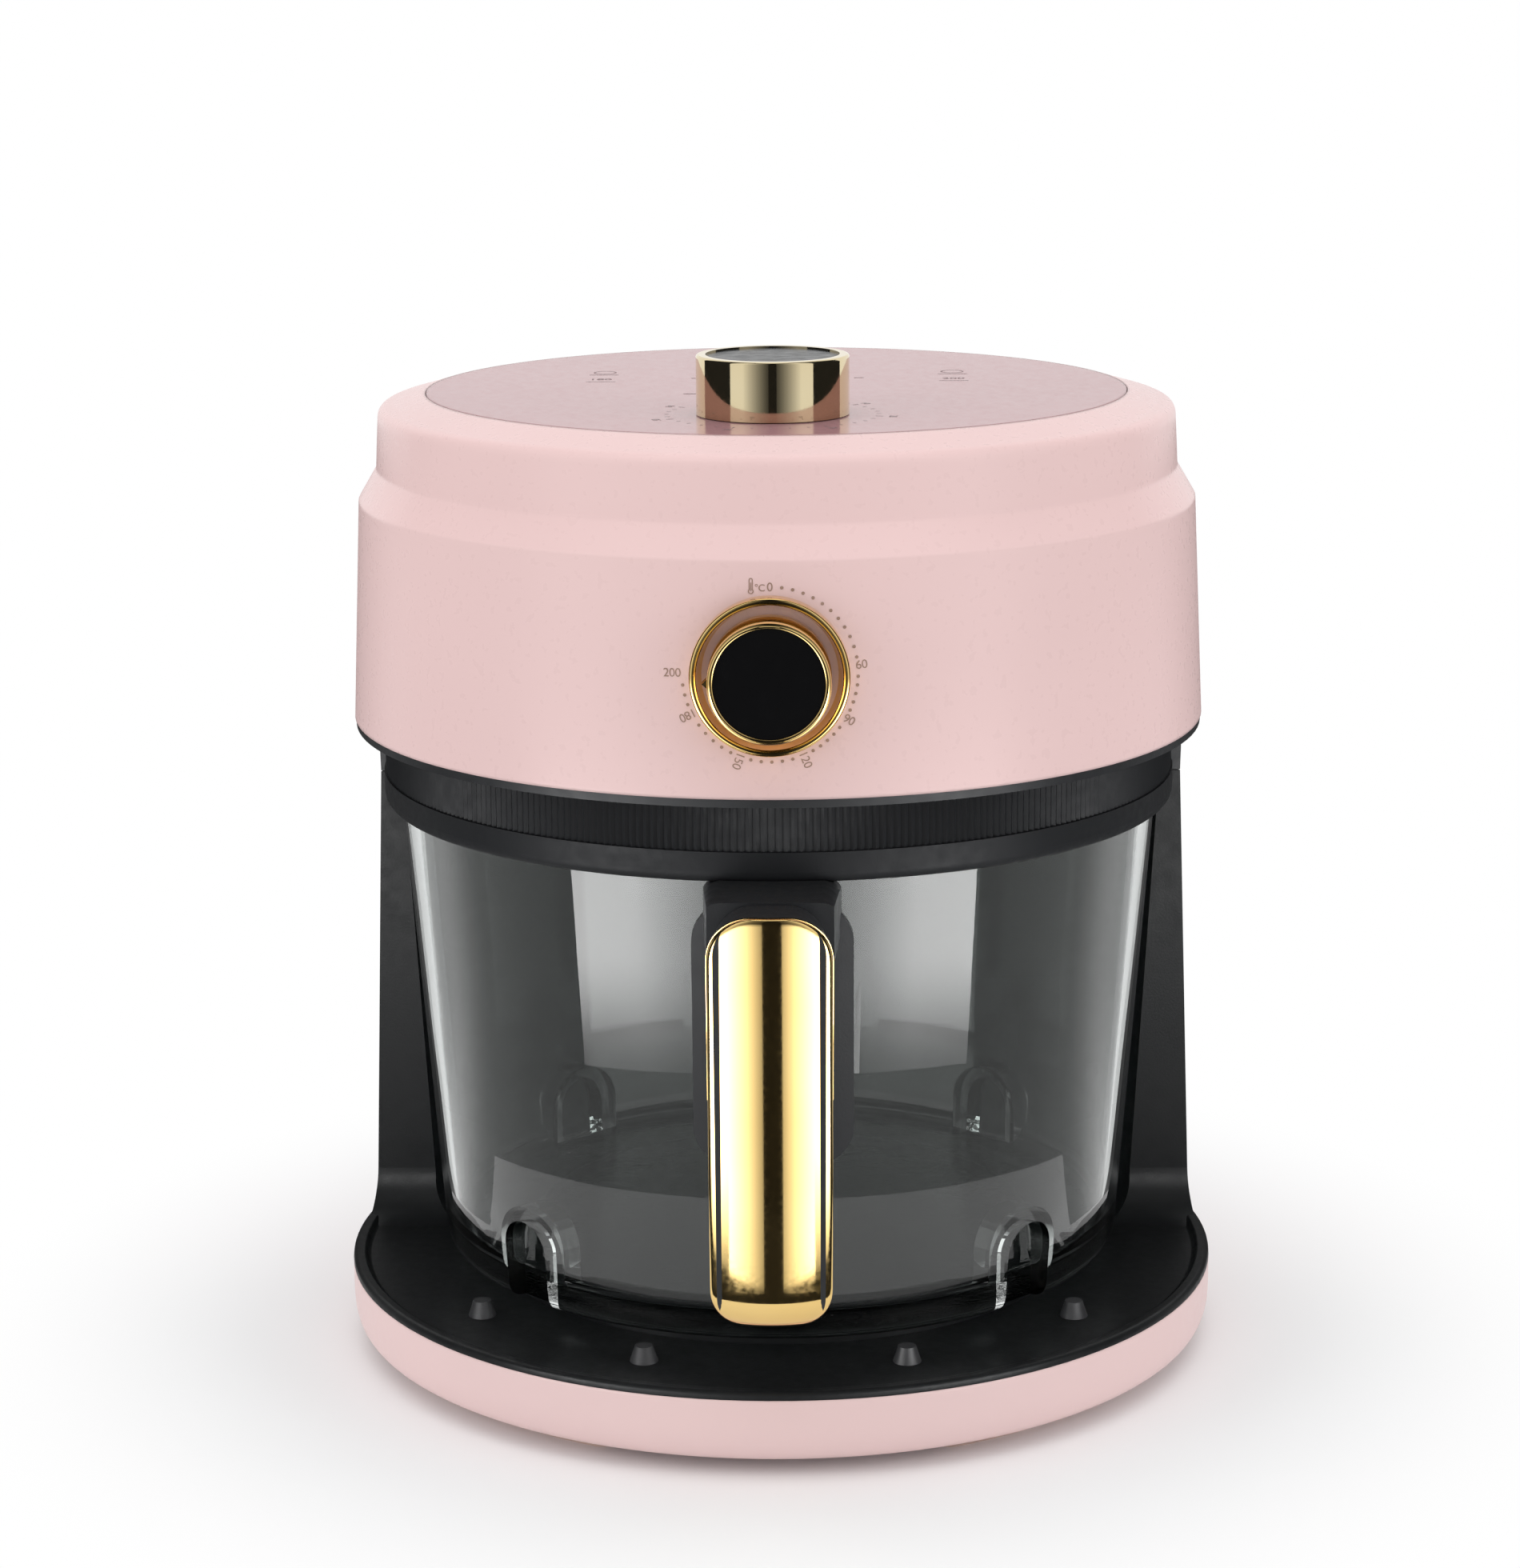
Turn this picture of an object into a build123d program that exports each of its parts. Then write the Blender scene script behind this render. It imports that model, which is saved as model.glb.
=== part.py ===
from build123d import *
from math import cos, pi, radians, sin
import os

# Glass air fryer with a hinged lid, in millimetres.
# The origin is on the floor, on the axis of the glass jar. The front faces -Y and Z points up.

os.makedirs("parts", exist_ok=True)

# Fits and walls that several pieces share
running_gap = 0.05
snug_gap = 0.02
part_gap = 0.3
wall = 2.5

# Screws, three sizes of the same kind
screw_radius = 1.75
screw_head_radius = 3.4
screw_head_height = 2.2
screw_play = 0.25

# Base tray and deck
foot_height = 4.2
foot_overhang = 0.8
foot_width = 10.0
foot_start = 26.0
foot_end = 62.0
base_radius = 135.0
base_turn_width = 15.0
base_height = 20.5
base_turn = 11.8
base_screw_inset = 22.0
base_boss_radius = 5.5
deck_rise = 0.6
rim_rise = 1.7
rim_width = 3.4
jar_seat_rise = 4.7
jar_seat_inset = 13.0
jar_seat_width = 14.0
peg_outset = 7.0
peg_foot_radius = 4.2
peg_top_radius = 2.6
peg_angles = (-52.5, -20.0, 20.0, 52.5)

# Column behind the jar
column_inset = 1.4
column_lean = 5.1
column_depth = 18.8
column_front = 25.0
column_edge = 9.0
bay_fillet = 12.0
front_fillet = 15.0
cover_screw_rise = 26.7
cover_screw_drop = 33.8
cover_screw_angle = 35.0
cover_post_radius = 4.5

# Glass jar with its collar
glass_height = 157.7
glass_play = 9.8
glass_flare = 12.0
glass_wall = 4.2
glass_floor = 8.0
glass_corner = 6.0
dent_width = 18.0
dent_height = 27.0
dent_depth = 6.5
dent_angles = (45, 135, 225, 315)
seal_height = 2.0
collar_cap = 5.5
collar_skirt = 15.6
collar_wall = 4.0
collar_lip_height = 9.1
collar_lip_round = 3.4
collar_edge = 1.0
band_depth = 1.8
rib_count = 360
rib_height = 0.7

# Jar handle
plate_width = 45.8
plate_height = 78.0
plate_drop = 8.0
plate_thickness = 3.0
plate_corner = 11.0
handle_gap = 24.0
handle_depth = 18.0
handle_height = 119.4
handle_width = 35.0
handle_foot_width = 33.8
handle_corner = 13.0
handle_turn = 12.0
cover_thickness = 2.5
grip_inset = 2.0
grip_round = 3.0
neck_depth_z = 17.0
neck_root_width = 40.0
neck_corner = 6.0
handle_screw_spacing = 16.0

# Lid
lid_gap = 0.7
lip_height = 2.4
lip_inset = 0.4
lid_overhang = 0.9
lid_lean = 3.0
lid_wall_height = 66.0
shoulder_width = 5.5
shoulder_rise = 9.4
band_lean = 0.8
band_height = 15.0
crown_rise = 7.2
crown_round = 4.4
crown_width = 14.7
panel_thickness = 2.8
panel_ledge = 3.5
frame_width = 25.4
neck_height = 24.1
neck_play = 1.1
lid_screw_inset = 8.4
lid_screw_angles = (-75.0, -25.0, 25.0, 75.0)
lid_boss_radius = 5.6
lid_boss_height = 16.0

# Hinge behind the column
hinge_offset = 5.5
hinge_radius = 5.0
hinge_pin_radius = 2.0
hinge_half_width = 20.0
hinge_side_width = 14.0
hinge_web = 15.0

# Hot air parts in the lid
guard_overlap = 8.0
guard_thickness = 1.0
guard_ring_count = 5
guard_first_ring = 28.0
guard_rim = 12.0
guard_slot_width = 6.0
guard_slot_share = 0.78
sheet = 1.0
reflector_flange = 6.5
reflector_lean = 5.5
reflector_height = 40.4
heater_tube_radius = 3.2
heater_inset = 34.0
heater_pitch = 12.0
heater_half_turns = 4
heater_drop = 27.0
clip_width = 8.0
clip_thickness = 2.0
clip_angles = (30, 150, 270)
fan_play = 6.0
fan_blade_count = 12
fan_blade_height = 12.0
fan_top_gap = 4.0
fan_hub_radius = 8.0
shaft_radius = 3.0
motor_radius = 26.0
motor_height = 30.0
bracket_radius = 46.0
bracket_lift = 4.0
bracket_thickness = 2.0
bracket_post_radius = 4.0
bracket_post_circle = 40.0
cooling_fan_radius = 34.0
cooling_blade_count = 7
cooling_fan_height = 8.0
cooling_fan_lift = 3.0
fuse_radius = 4.0
fuse_length = 24.0

# Timer on the top panel
timer_reach = 61.0
timer_knob_radius = 22.0
timer_knob_height = 17.0
timer_cap_radius = 19.2
timer_body_width = 38.0
timer_body_height = 24.0
timer_edge_round = 0.8
cap_recess = 1.6
cap_drop = 0.5

# Temperature dial on the front of the lid
dial_rise = 34.8
dial_bezel_radius = 22.1
dial_bezel_inner = 18.3
dial_bezel_reach = 5.4
dial_knob_radius = 17.5
dial_knob_depth = 12.5
dial_cap_radius = 15.25
dial_back_gap = 1.2
dial_notch = 1.2
bezel_edge_round = 1.2
dial_edge_round = 0.8
thermostat_width = 26.0
thermostat_depth = 18.0
thermostat_boss_radius = 10.0
thermostat_boss_depth = 3.0

# Air outlet at the back of the lid
outlet_width = 64.0
outlet_height = 30.0
outlet_rise = 22.0
outlet_slots = 5
outlet_slot_height = 3.2
outlet_flange = 3.0

# Cord inlet at the back of the base
gland_radius = 5.0
gland_flange_radius = 6.0
gland_flange = 2.0
gland_bore = 3.0
gland_height = 12.6

# Levels, each worked out from the ones below it
base_top = foot_height + base_height
deck_top = base_top + deck_rise
deck_under = deck_top - wall
rim_top = deck_top + rim_rise
jar_seat_top = deck_top + jar_seat_rise
jar_bottom = jar_seat_top + part_gap
glass_top = jar_bottom + glass_height
seal_top = glass_top + seal_height
collar_top = seal_top + collar_cap
collar_bottom = glass_top - collar_skirt
ribs_bottom = collar_bottom + collar_lip_height
lid_bottom = collar_top + lid_gap
frame_top = lid_bottom + lip_height
wall_top = frame_top + lid_wall_height
band_foot = wall_top + shoulder_rise
band_top = band_foot + band_height
panel_top = band_top + crown_rise
panel_under = panel_top - panel_thickness
neck_bottom = lid_bottom - neck_height
column_top = neck_bottom - part_gap
hinge_height = neck_bottom - part_gap / 2
dial_height = frame_top + dial_rise
handle_top = collar_bottom + 1.0
handle_bottom = handle_top - handle_height

# Radii in plan, from the rim of the base inwards to the jar, then up to the lid
base_inner_radius = base_radius - wall
base_flat_radius = base_radius - base_turn_width
foot_outer_radius = base_flat_radius + foot_overhang
base_screw_circle = base_flat_radius - base_screw_inset
column_foot_radius = base_radius - column_inset
column_top_radius = column_foot_radius - column_lean
bay_foot_radius = column_foot_radius - column_depth
glass_foot_radius = bay_foot_radius - glass_play
glass_top_radius = glass_foot_radius + glass_flare
jar_seat_radius = glass_foot_radius - jar_seat_inset
peg_circle = glass_foot_radius + peg_outset
collar_radius = glass_top_radius + collar_wall
neck_inner_radius = collar_radius + neck_play
bay_top_radius = neck_inner_radius
handle_reach = collar_radius + handle_gap + handle_depth
lid_foot_radius = column_top_radius + lid_overhang
lid_top_radius = lid_foot_radius - lid_lean
band_foot_radius = lid_top_radius - shoulder_width
band_top_radius = band_foot_radius - band_lean
panel_radius = band_top_radius - crown_width
lid_opening_radius = lid_foot_radius - frame_width
lid_screw_circle = lid_foot_radius - lid_screw_inset
guard_radius = lid_opening_radius + guard_overlap
reflector_foot_radius = guard_radius - reflector_flange
reflector_top_radius = reflector_foot_radius - reflector_lean
heater_inner_radius = reflector_top_radius - heater_inset
fan_radius = heater_inner_radius - fan_play
hinge_reach = column_top_radius + hinge_offset
hinge_outer = hinge_half_width + part_gap + hinge_side_width
cover_screw_heights = (deck_top + cover_screw_rise, column_top - cover_screw_drop)


def slope(low, high, foot, top, height):
    """Radius of a cone at a height, from its radius at two levels."""
    return foot + (top - foot) * (height - low) / (high - low)


def glass_radius(height):
    return slope(jar_bottom, glass_top, glass_foot_radius, glass_top_radius, height)


def column_radius(height):
    return slope(deck_top, column_top, column_foot_radius, column_top_radius, height)


def lid_radius(height):
    return slope(frame_top, wall_top, lid_foot_radius, lid_top_radius, height)


def neck_radius(height):
    return slope(neck_bottom, lid_bottom, column_top_radius, lid_foot_radius - lip_inset, height)


def turned(points):
    """A closed outline of (radius, height) points, for turning about Z."""
    with BuildSketch(Plane.XZ) as outline:
        with BuildLine():
            Polyline(*points, close=True)
        make_face()
    return outline.sketch


def around(radius, angle, height=0.0):
    """A point at an angle from the front, positive towards +X."""
    return (radius * sin(radians(angle)), -radius * cos(radians(angle)), height)


def outward(radius, angle, height):
    """A plane whose normal points away from the jar axis, with its own y along Z."""
    direction = Vector(sin(radians(angle)), -cos(radians(angle)), 0)
    across = Vector(0, 0, 1).cross(direction)
    return Plane(origin=around(radius, angle, height), x_dir=across, z_dir=direction)


def finish(piece, name):
    piece.part.label = name
    export_step(piece.part, f"parts/{name}.step")
    return piece.part


# Base shell: a shallow tray, open at the top, with four screw bosses
floor_top = foot_height + wall
with BuildPart() as base_shell:
    with BuildSketch(Plane.XZ):
        with BuildLine():
            underside = Line((0, foot_height), (base_flat_radius, foot_height))
            turn = Bezier(
                underside @ 1,
                (base_radius - 0.2 * base_turn, foot_height),
                (base_radius - 0.2, foot_height + 0.1 * base_turn),
                (base_radius, foot_height + base_turn),
            )
            side = Line(turn @ 1, (base_radius, base_top))
            Polyline(
                side @ 1,
                (base_inner_radius, base_top),
                (base_inner_radius, foot_height + base_turn),
                (base_inner_radius - wall, floor_top + wall),
                (base_flat_radius, floor_top),
                (0, floor_top),
                underside @ 0,
            )
        make_face()
    revolve(axis=Axis.Z)
    with BuildSketch(Plane.XY.offset(floor_top)):
        with PolarLocations(base_screw_circle, 4, start_angle=45):
            Circle(base_boss_radius)
    extrude(amount=deck_under - floor_top)
    with BuildSketch(Plane.XY.offset(foot_height)):
        with PolarLocations(base_screw_circle, 4, start_angle=45):
            Circle(screw_radius + screw_play)
    extrude(amount=base_height, mode=Mode.SUBTRACT)
    with BuildSketch(Plane.XY.offset(foot_height)):
        with PolarLocations(base_screw_circle, 4, start_angle=45):
            Circle(screw_head_radius + screw_play)
    extrude(amount=2 * screw_head_height, mode=Mode.SUBTRACT)
    with BuildSketch(Plane.XZ.offset(-base_radius - 1)):
        with Locations((0, foot_height + gland_height)):
            Circle(gland_radius + snug_gap)
    extrude(amount=2 * wall + 1, mode=Mode.SUBTRACT)
finish(base_shell, "base_shell")

# Base screws, driven up from below into the deck
base_screw_seat = foot_height + 2 * screw_head_height
base_screw_tip = deck_top - 1.0
with BuildPart() as base_screws:
    with BuildSketch(Plane.XY.offset(base_screw_seat - screw_head_height)):
        with PolarLocations(base_screw_circle, 4, start_angle=45):
            Circle(screw_head_radius)
    extrude(amount=screw_head_height)
    with BuildSketch(Plane.XY.offset(base_screw_seat)):
        with PolarLocations(base_screw_circle, 4, start_angle=45):
            Circle(screw_radius)
    extrude(amount=base_screw_tip - base_screw_seat)
finish(base_screws, "base_screws")

# Feet: four curved pads under the base
foot_middle = (foot_start + foot_end) / 2
foot_spread = foot_end - foot_start
foot_mid_radius = foot_outer_radius - foot_width / 2
with BuildPart() as foot_pads:
    with BuildSketch(Plane.XY):
        for middle in (foot_middle, 180 - foot_middle, 180 + foot_middle, -foot_middle):
            with BuildLine():
                path = CenterArc((0, 0), foot_mid_radius, middle - 90 - foot_spread / 2, foot_spread)
            SlotArc(arc=path, height=foot_width)
    extrude(amount=foot_height)
finish(foot_pads, "foot_pads")

# Cord inlet: a rubber bush through the back of the base
with BuildPart() as cord_gland:
    with BuildSketch(Plane.XZ.offset(-base_radius - gland_flange)):
        with Locations((0, foot_height + gland_height)):
            Circle(gland_flange_radius)
    extrude(amount=gland_flange)
    with BuildSketch(Plane.XZ.offset(-base_radius)):
        with Locations((0, foot_height + gland_height)):
            Circle(gland_radius)
    extrude(amount=3 * wall)
    with BuildSketch(Plane.XZ.offset(-base_radius - gland_flange)):
        with Locations((0, foot_height + gland_height)):
            Circle(gland_bore)
    extrude(amount=5 * wall, mode=Mode.SUBTRACT)
finish(cord_gland, "cord_gland")

# Space inside the column, between the bay wall and the rear cover, less the screw posts
with BuildPart() as column_hollow:
    revolve(
        turned(
            [
                (bay_foot_radius + wall, deck_top),
                (column_foot_radius - wall, deck_top),
                (column_top_radius - wall, column_top - wall),
                (bay_top_radius + wall, column_top - wall),
            ]
        ),
        axis=Axis.Z,
    )
    split(bisect_by=Plane.XZ.offset(-column_front - wall), keep=Keep.BOTTOM)
    for height in cover_screw_heights:
        for angle in (180 - cover_screw_angle, 180 + cover_screw_angle):
            with BuildSketch(outward(bay_foot_radius, angle, height)):
                Circle(cover_post_radius)
            extrude(amount=base_radius - bay_foot_radius, mode=Mode.SUBTRACT)

# Place of the rear cover, behind the front edges of the column
with BuildPart() as cover_place:
    revolve(
        turned(
            [
                (column_radius(rim_top) - wall, rim_top),
                (base_radius + wall, rim_top),
                (base_radius + wall, column_top - wall),
                (column_radius(column_top - wall) - wall, column_top - wall),
            ]
        ),
        axis=Axis.Z,
    )
    split(bisect_by=Plane.XZ.offset(-column_front - column_edge), keep=Keep.BOTTOM)

# Deck liner: the dark deck with its raised rim, the jar seat and the front of the column
bay_start = bay_foot_radius - bay_fillet
with BuildPart() as deck_liner:
    with BuildSketch(Plane.XZ):
        with BuildLine():
            bay_floor = Line((bay_start, deck_under), (bay_start, deck_top))
            bay_curve = TangentArc(bay_floor @ 1, (bay_foot_radius, deck_top + bay_fillet), tangent=(1, 0))
            Polyline(
                bay_curve @ 1,
                (bay_top_radius, column_top),
                (column_top_radius, column_top),
                (column_foot_radius, deck_top),
                (column_foot_radius, base_top),
                (base_inner_radius - snug_gap, base_top),
                (base_inner_radius - snug_gap, deck_under),
                bay_floor @ 0,
            )
        make_face()
    revolve(axis=Axis.Z)
    with BuildSketch(Plane.YZ):
        with BuildLine():
            front_face = Line((column_front, column_top), (column_front, deck_top + front_fillet))
            front_foot = column_front - front_fillet
            front_curve = TangentArc(front_face @ 1, (front_foot, deck_top), tangent=(0, -1))
            Polyline(
                front_curve @ 1,
                (front_foot, deck_under),
                (base_radius, deck_under),
                (base_radius, column_top),
                front_face @ 0,
            )
        make_face()
    extrude(amount=base_radius, both=True, mode=Mode.INTERSECT)
    add(column_hollow.part, mode=Mode.SUBTRACT)
    add(cover_place.part, mode=Mode.SUBTRACT)
    with BuildSketch(Plane.XZ):
        with BuildLine():
            rim_side = Line((base_radius, base_top), (base_radius, base_top + part_gap))
            rim_crown = Bezier(rim_side @ 1, (base_radius, rim_top), (base_radius - rim_width / 2, rim_top))
            rim_land = Line(rim_crown @ 1, (base_radius - rim_width, rim_top))
            rim_fall = Bezier(
                rim_land @ 1,
                (base_radius - rim_width - rim_rise / 2, rim_top),
                (base_radius - rim_width - rim_rise / 2, deck_top),
                (base_radius - rim_width - 1.2 * rim_rise, deck_top),
            )
            Polyline(
                rim_fall @ 1,
                (jar_seat_radius, deck_top),
                (jar_seat_radius, jar_seat_top),
                (jar_seat_radius - jar_seat_width, jar_seat_top),
                (jar_seat_radius - jar_seat_width, deck_top),
                (0, deck_top),
                (0, deck_under),
                (base_inner_radius - snug_gap, deck_under),
                (base_inner_radius - snug_gap, base_top),
                rim_side @ 0,
            )
        make_face()
    revolve(axis=Axis.Z)
    # hinge knuckles on a web behind the column
    for side in (-1, 1):
        knuckle_middle = side * (hinge_half_width + part_gap + hinge_side_width / 2)
        with BuildSketch(Plane.YZ.offset(knuckle_middle)):
            with Locations((hinge_reach, hinge_height)):
                Circle(hinge_radius)
            with BuildLine():
                Polyline(
                    (bay_top_radius + 1, column_top),
                    (hinge_reach, column_top),
                    (hinge_reach + 0.7 * hinge_radius, hinge_height - 0.7 * hinge_radius),
                    (column_top_radius - wall, column_top - hinge_web),
                    (bay_top_radius + 1, column_top - hinge_web),
                    close=True,
                )
            make_face()
        extrude(amount=hinge_side_width / 2, both=True)
    with BuildSketch(Plane.YZ):
        with Locations((hinge_reach, hinge_height)):
            Circle(hinge_pin_radius + snug_gap)
    extrude(amount=base_radius, both=True, mode=Mode.SUBTRACT)
    # pilot holes
    for height in cover_screw_heights:
        for angle in (180 - cover_screw_angle, 180 + cover_screw_angle):
            with BuildSketch(outward(column_radius(height) - 4 * wall, angle, height)):
                Circle(screw_radius + snug_gap)
            extrude(amount=4 * wall, mode=Mode.SUBTRACT)
    with BuildSketch(Plane.XY.offset(deck_under)):
        with PolarLocations(base_screw_circle, 4, start_angle=45):
            Circle(screw_radius + snug_gap)
    extrude(amount=base_screw_tip + snug_gap - deck_under, mode=Mode.SUBTRACT)
finish(deck_liner, "deck_liner")

# Rear cover of the column, notched round the hinge knuckles
cover_low = rim_top + snug_gap
cover_high = column_top - wall - snug_gap
cover_counterbore = wall / 2
with BuildPart() as column_cover:
    revolve(
        turned(
            [
                (column_radius(cover_low) - wall, cover_low),
                (column_radius(cover_low), cover_low),
                (column_radius(cover_high), cover_high),
                (column_radius(cover_high) - wall, cover_high),
            ]
        ),
        axis=Axis.Z,
    )
    split(bisect_by=Plane.XZ.offset(-column_front - column_edge - part_gap), keep=Keep.BOTTOM)
    for side in (-1, 1):
        knuckle_middle = side * (hinge_half_width + part_gap + hinge_side_width / 2)
        with Locations((knuckle_middle, column_top_radius, column_top)):
            Box(
                hinge_side_width + 2 * part_gap,
                hinge_web + wall,
                2 * (hinge_web + part_gap),
                mode=Mode.SUBTRACT,
            )
    for height in cover_screw_heights:
        for angle in (180 - cover_screw_angle, 180 + cover_screw_angle):
            with BuildSketch(outward(column_radius(height) - 2 * wall, angle, height)):
                Circle(screw_radius + screw_play)
            extrude(amount=4 * wall, mode=Mode.SUBTRACT)
            with BuildSketch(outward(column_radius(height) - cover_counterbore, angle, height)):
                Circle(screw_head_radius + screw_play)
            extrude(amount=2 * wall, mode=Mode.SUBTRACT)
finish(column_cover, "column_cover")

# Screws of the rear cover
with BuildPart() as cover_screws:
    for height in cover_screw_heights:
        for angle in (180 - cover_screw_angle, 180 + cover_screw_angle):
            seat_radius = column_radius(height) - cover_counterbore
            with BuildSketch(outward(seat_radius, angle, height)):
                Circle(screw_head_radius)
            extrude(amount=screw_head_height)
            with BuildSketch(outward(seat_radius, angle, height)):
                Circle(screw_radius)
            extrude(amount=-2.5 * wall)
finish(cover_screws, "cover_screws")

# Rubber pegs in front of the jar seat
with BuildPart() as jar_pegs:
    for angle in peg_angles:
        with Locations(around(peg_circle, angle, deck_top)):
            Cone(
                bottom_radius=peg_foot_radius,
                top_radius=peg_top_radius,
                height=jar_seat_rise,
                align=(Align.CENTER, Align.CENTER, Align.MIN),
            )
finish(jar_pegs, "jar_pegs")

# Hinge pin, pressed into the column's two knuckles
with BuildPart() as hinge_pin:
    with BuildSketch(Plane.YZ):
        with Locations((hinge_reach, hinge_height)):
            Circle(hinge_pin_radius)
    extrude(amount=hinge_outer, both=True)
finish(hinge_pin, "hinge_pin")

# Lid frame: the dark ring under the lid, with the neck that stands on the column
with BuildPart() as neck:
    revolve(
        turned(
            [
                (neck_inner_radius, neck_bottom),
                (neck_radius(neck_bottom), neck_bottom),
                (neck_radius(lid_bottom), lid_bottom),
                (neck_inner_radius, lid_bottom),
            ]
        ),
        axis=Axis.Z,
    )
    split(bisect_by=Plane.XZ.offset(-column_front), keep=Keep.BOTTOM)

lid_screw_seat = lid_bottom + screw_head_height - part_gap
with BuildPart() as lid_frame:
    revolve(
        turned(
            [
                (lid_opening_radius, lid_bottom),
                (lid_foot_radius - lip_inset, lid_bottom),
                (lid_foot_radius - lip_inset, frame_top),
                (lid_opening_radius, frame_top),
            ]
        ),
        axis=Axis.Z,
    )
    add(neck.part)
    with BuildSketch(Plane.YZ):
        with Locations((hinge_reach, hinge_height)):
            Circle(hinge_radius)
        with BuildLine():
            Polyline(
                (neck_inner_radius + 1, neck_bottom),
                (hinge_reach, neck_bottom),
                (hinge_reach + 0.7 * hinge_radius, hinge_height + 0.7 * hinge_radius),
                (neck_radius(neck_bottom + hinge_web), neck_bottom + hinge_web),
                (neck_inner_radius + 1, neck_bottom + hinge_web),
                close=True,
            )
        make_face()
    extrude(amount=hinge_half_width, both=True)
    with BuildSketch(Plane.YZ):
        with Locations((hinge_reach, hinge_height)):
            Circle(hinge_pin_radius + running_gap)
    extrude(amount=2 * hinge_half_width, both=True, mode=Mode.SUBTRACT)
    for angle in lid_screw_angles:
        with Locations(around(lid_screw_circle, angle, lid_bottom)):
            Cylinder(screw_radius + screw_play, 3 * lip_height, mode=Mode.SUBTRACT)
            Cylinder(screw_head_radius + screw_play, 2 * (screw_head_height - part_gap), mode=Mode.SUBTRACT)
finish(lid_frame, "lid_frame")

# Screws that hold the lid shell on its frame
lid_screw_tip = frame_top + 0.75 * lid_boss_height
with BuildPart() as lid_screws:
    for angle in lid_screw_angles:
        with BuildSketch(Plane.XY.offset(lid_screw_seat)):
            with Locations(around(lid_screw_circle, angle)):
                Circle(screw_head_radius)
        extrude(amount=part_gap - screw_head_height)
        with BuildSketch(Plane.XY.offset(lid_screw_seat)):
            with Locations(around(lid_screw_circle, angle)):
                Circle(screw_radius)
        extrude(amount=lid_screw_tip - lid_screw_seat)
finish(lid_screws, "lid_screws")

# Lid shell: tapered wall, sloping shoulder, upper band and crown, open below and round the panel
panel_seat_radius = panel_radius + part_gap
panel_lip_radius = panel_radius - panel_ledge
outlet_low = frame_top + outlet_rise
outlet_high = outlet_low + outlet_height
dial_wall = lid_radius(dial_height)
thermostat_front = dial_wall - wall - thermostat_boss_depth
with BuildPart() as lid_shell:
    with BuildSketch(Plane.XZ):
        with BuildLine():
            outside = Polyline(
                (lid_foot_radius, frame_top),
                (lid_top_radius, wall_top),
                (band_foot_radius, band_foot),
                (band_top_radius, band_top),
            )
            crown = Bezier(
                outside @ 1,
                (band_top_radius, band_top + 0.8 * crown_round),
                (band_top_radius - 0.8 * crown_round, band_top + 0.9 * crown_round),
            )
            Polyline(
                crown @ 1,
                (panel_seat_radius, panel_top),
                (panel_seat_radius, panel_under),
                (panel_lip_radius, panel_under),
                (panel_lip_radius, panel_under - wall),
                (band_top_radius - 2 * wall, band_top - wall / 2),
                (band_top_radius - wall, band_top - 2 * wall),
                (band_foot_radius - wall, band_foot),
                (lid_top_radius - wall, wall_top),
                (lid_foot_radius - wall, frame_top),
                outside @ 0,
            )
        make_face()
    revolve(axis=Axis.Z)
    for angle in lid_screw_angles:
        with Locations(around(lid_screw_circle, angle, frame_top)):
            Cylinder(lid_boss_radius, lid_boss_height, align=(Align.CENTER, Align.CENTER, Align.MIN))
            Cylinder(screw_radius + snug_gap, 1.6 * lid_boss_height, mode=Mode.SUBTRACT)
    with BuildSketch(Plane.XZ.offset(thermostat_front)):
        with Locations((0, dial_height)):
            Circle(thermostat_boss_radius)
    extrude(amount=thermostat_boss_depth + wall / 2)
    with BuildSketch(Plane.XZ.offset(thermostat_front)):
        with Locations((0, dial_height)):
            Circle(1.5 * shaft_radius)
    extrude(amount=base_radius - thermostat_front, mode=Mode.SUBTRACT)
    with BuildSketch(Plane.XZ.offset(-panel_radius)):
        with Locations((0, (outlet_low + outlet_high) / 2)):
            Rectangle(outlet_width, outlet_height)
    extrude(amount=panel_radius - base_radius, mode=Mode.SUBTRACT)
finish(lid_shell, "lid_shell")

# Air outlet: a slotted insert in the back of the lid shell
with BuildPart() as outlet_flange_ring:
    revolve(
        turned(
            [
                (lid_radius(outlet_low - outlet_flange) - wall - sheet, outlet_low - outlet_flange),
                (lid_radius(outlet_low - outlet_flange) - wall, outlet_low - outlet_flange),
                (lid_radius(outlet_high + outlet_flange) - wall, outlet_high + outlet_flange),
                (lid_radius(outlet_high + outlet_flange) - wall - sheet, outlet_high + outlet_flange),
            ]
        ),
        axis=Axis.Z,
    )
    with BuildSketch(Plane.XZ.offset(-panel_radius)):
        with Locations((0, (outlet_low + outlet_high) / 2)):
            Rectangle(outlet_width + 2 * outlet_flange, 2 * outlet_height)
    extrude(amount=panel_radius - base_radius, mode=Mode.INTERSECT)

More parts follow.
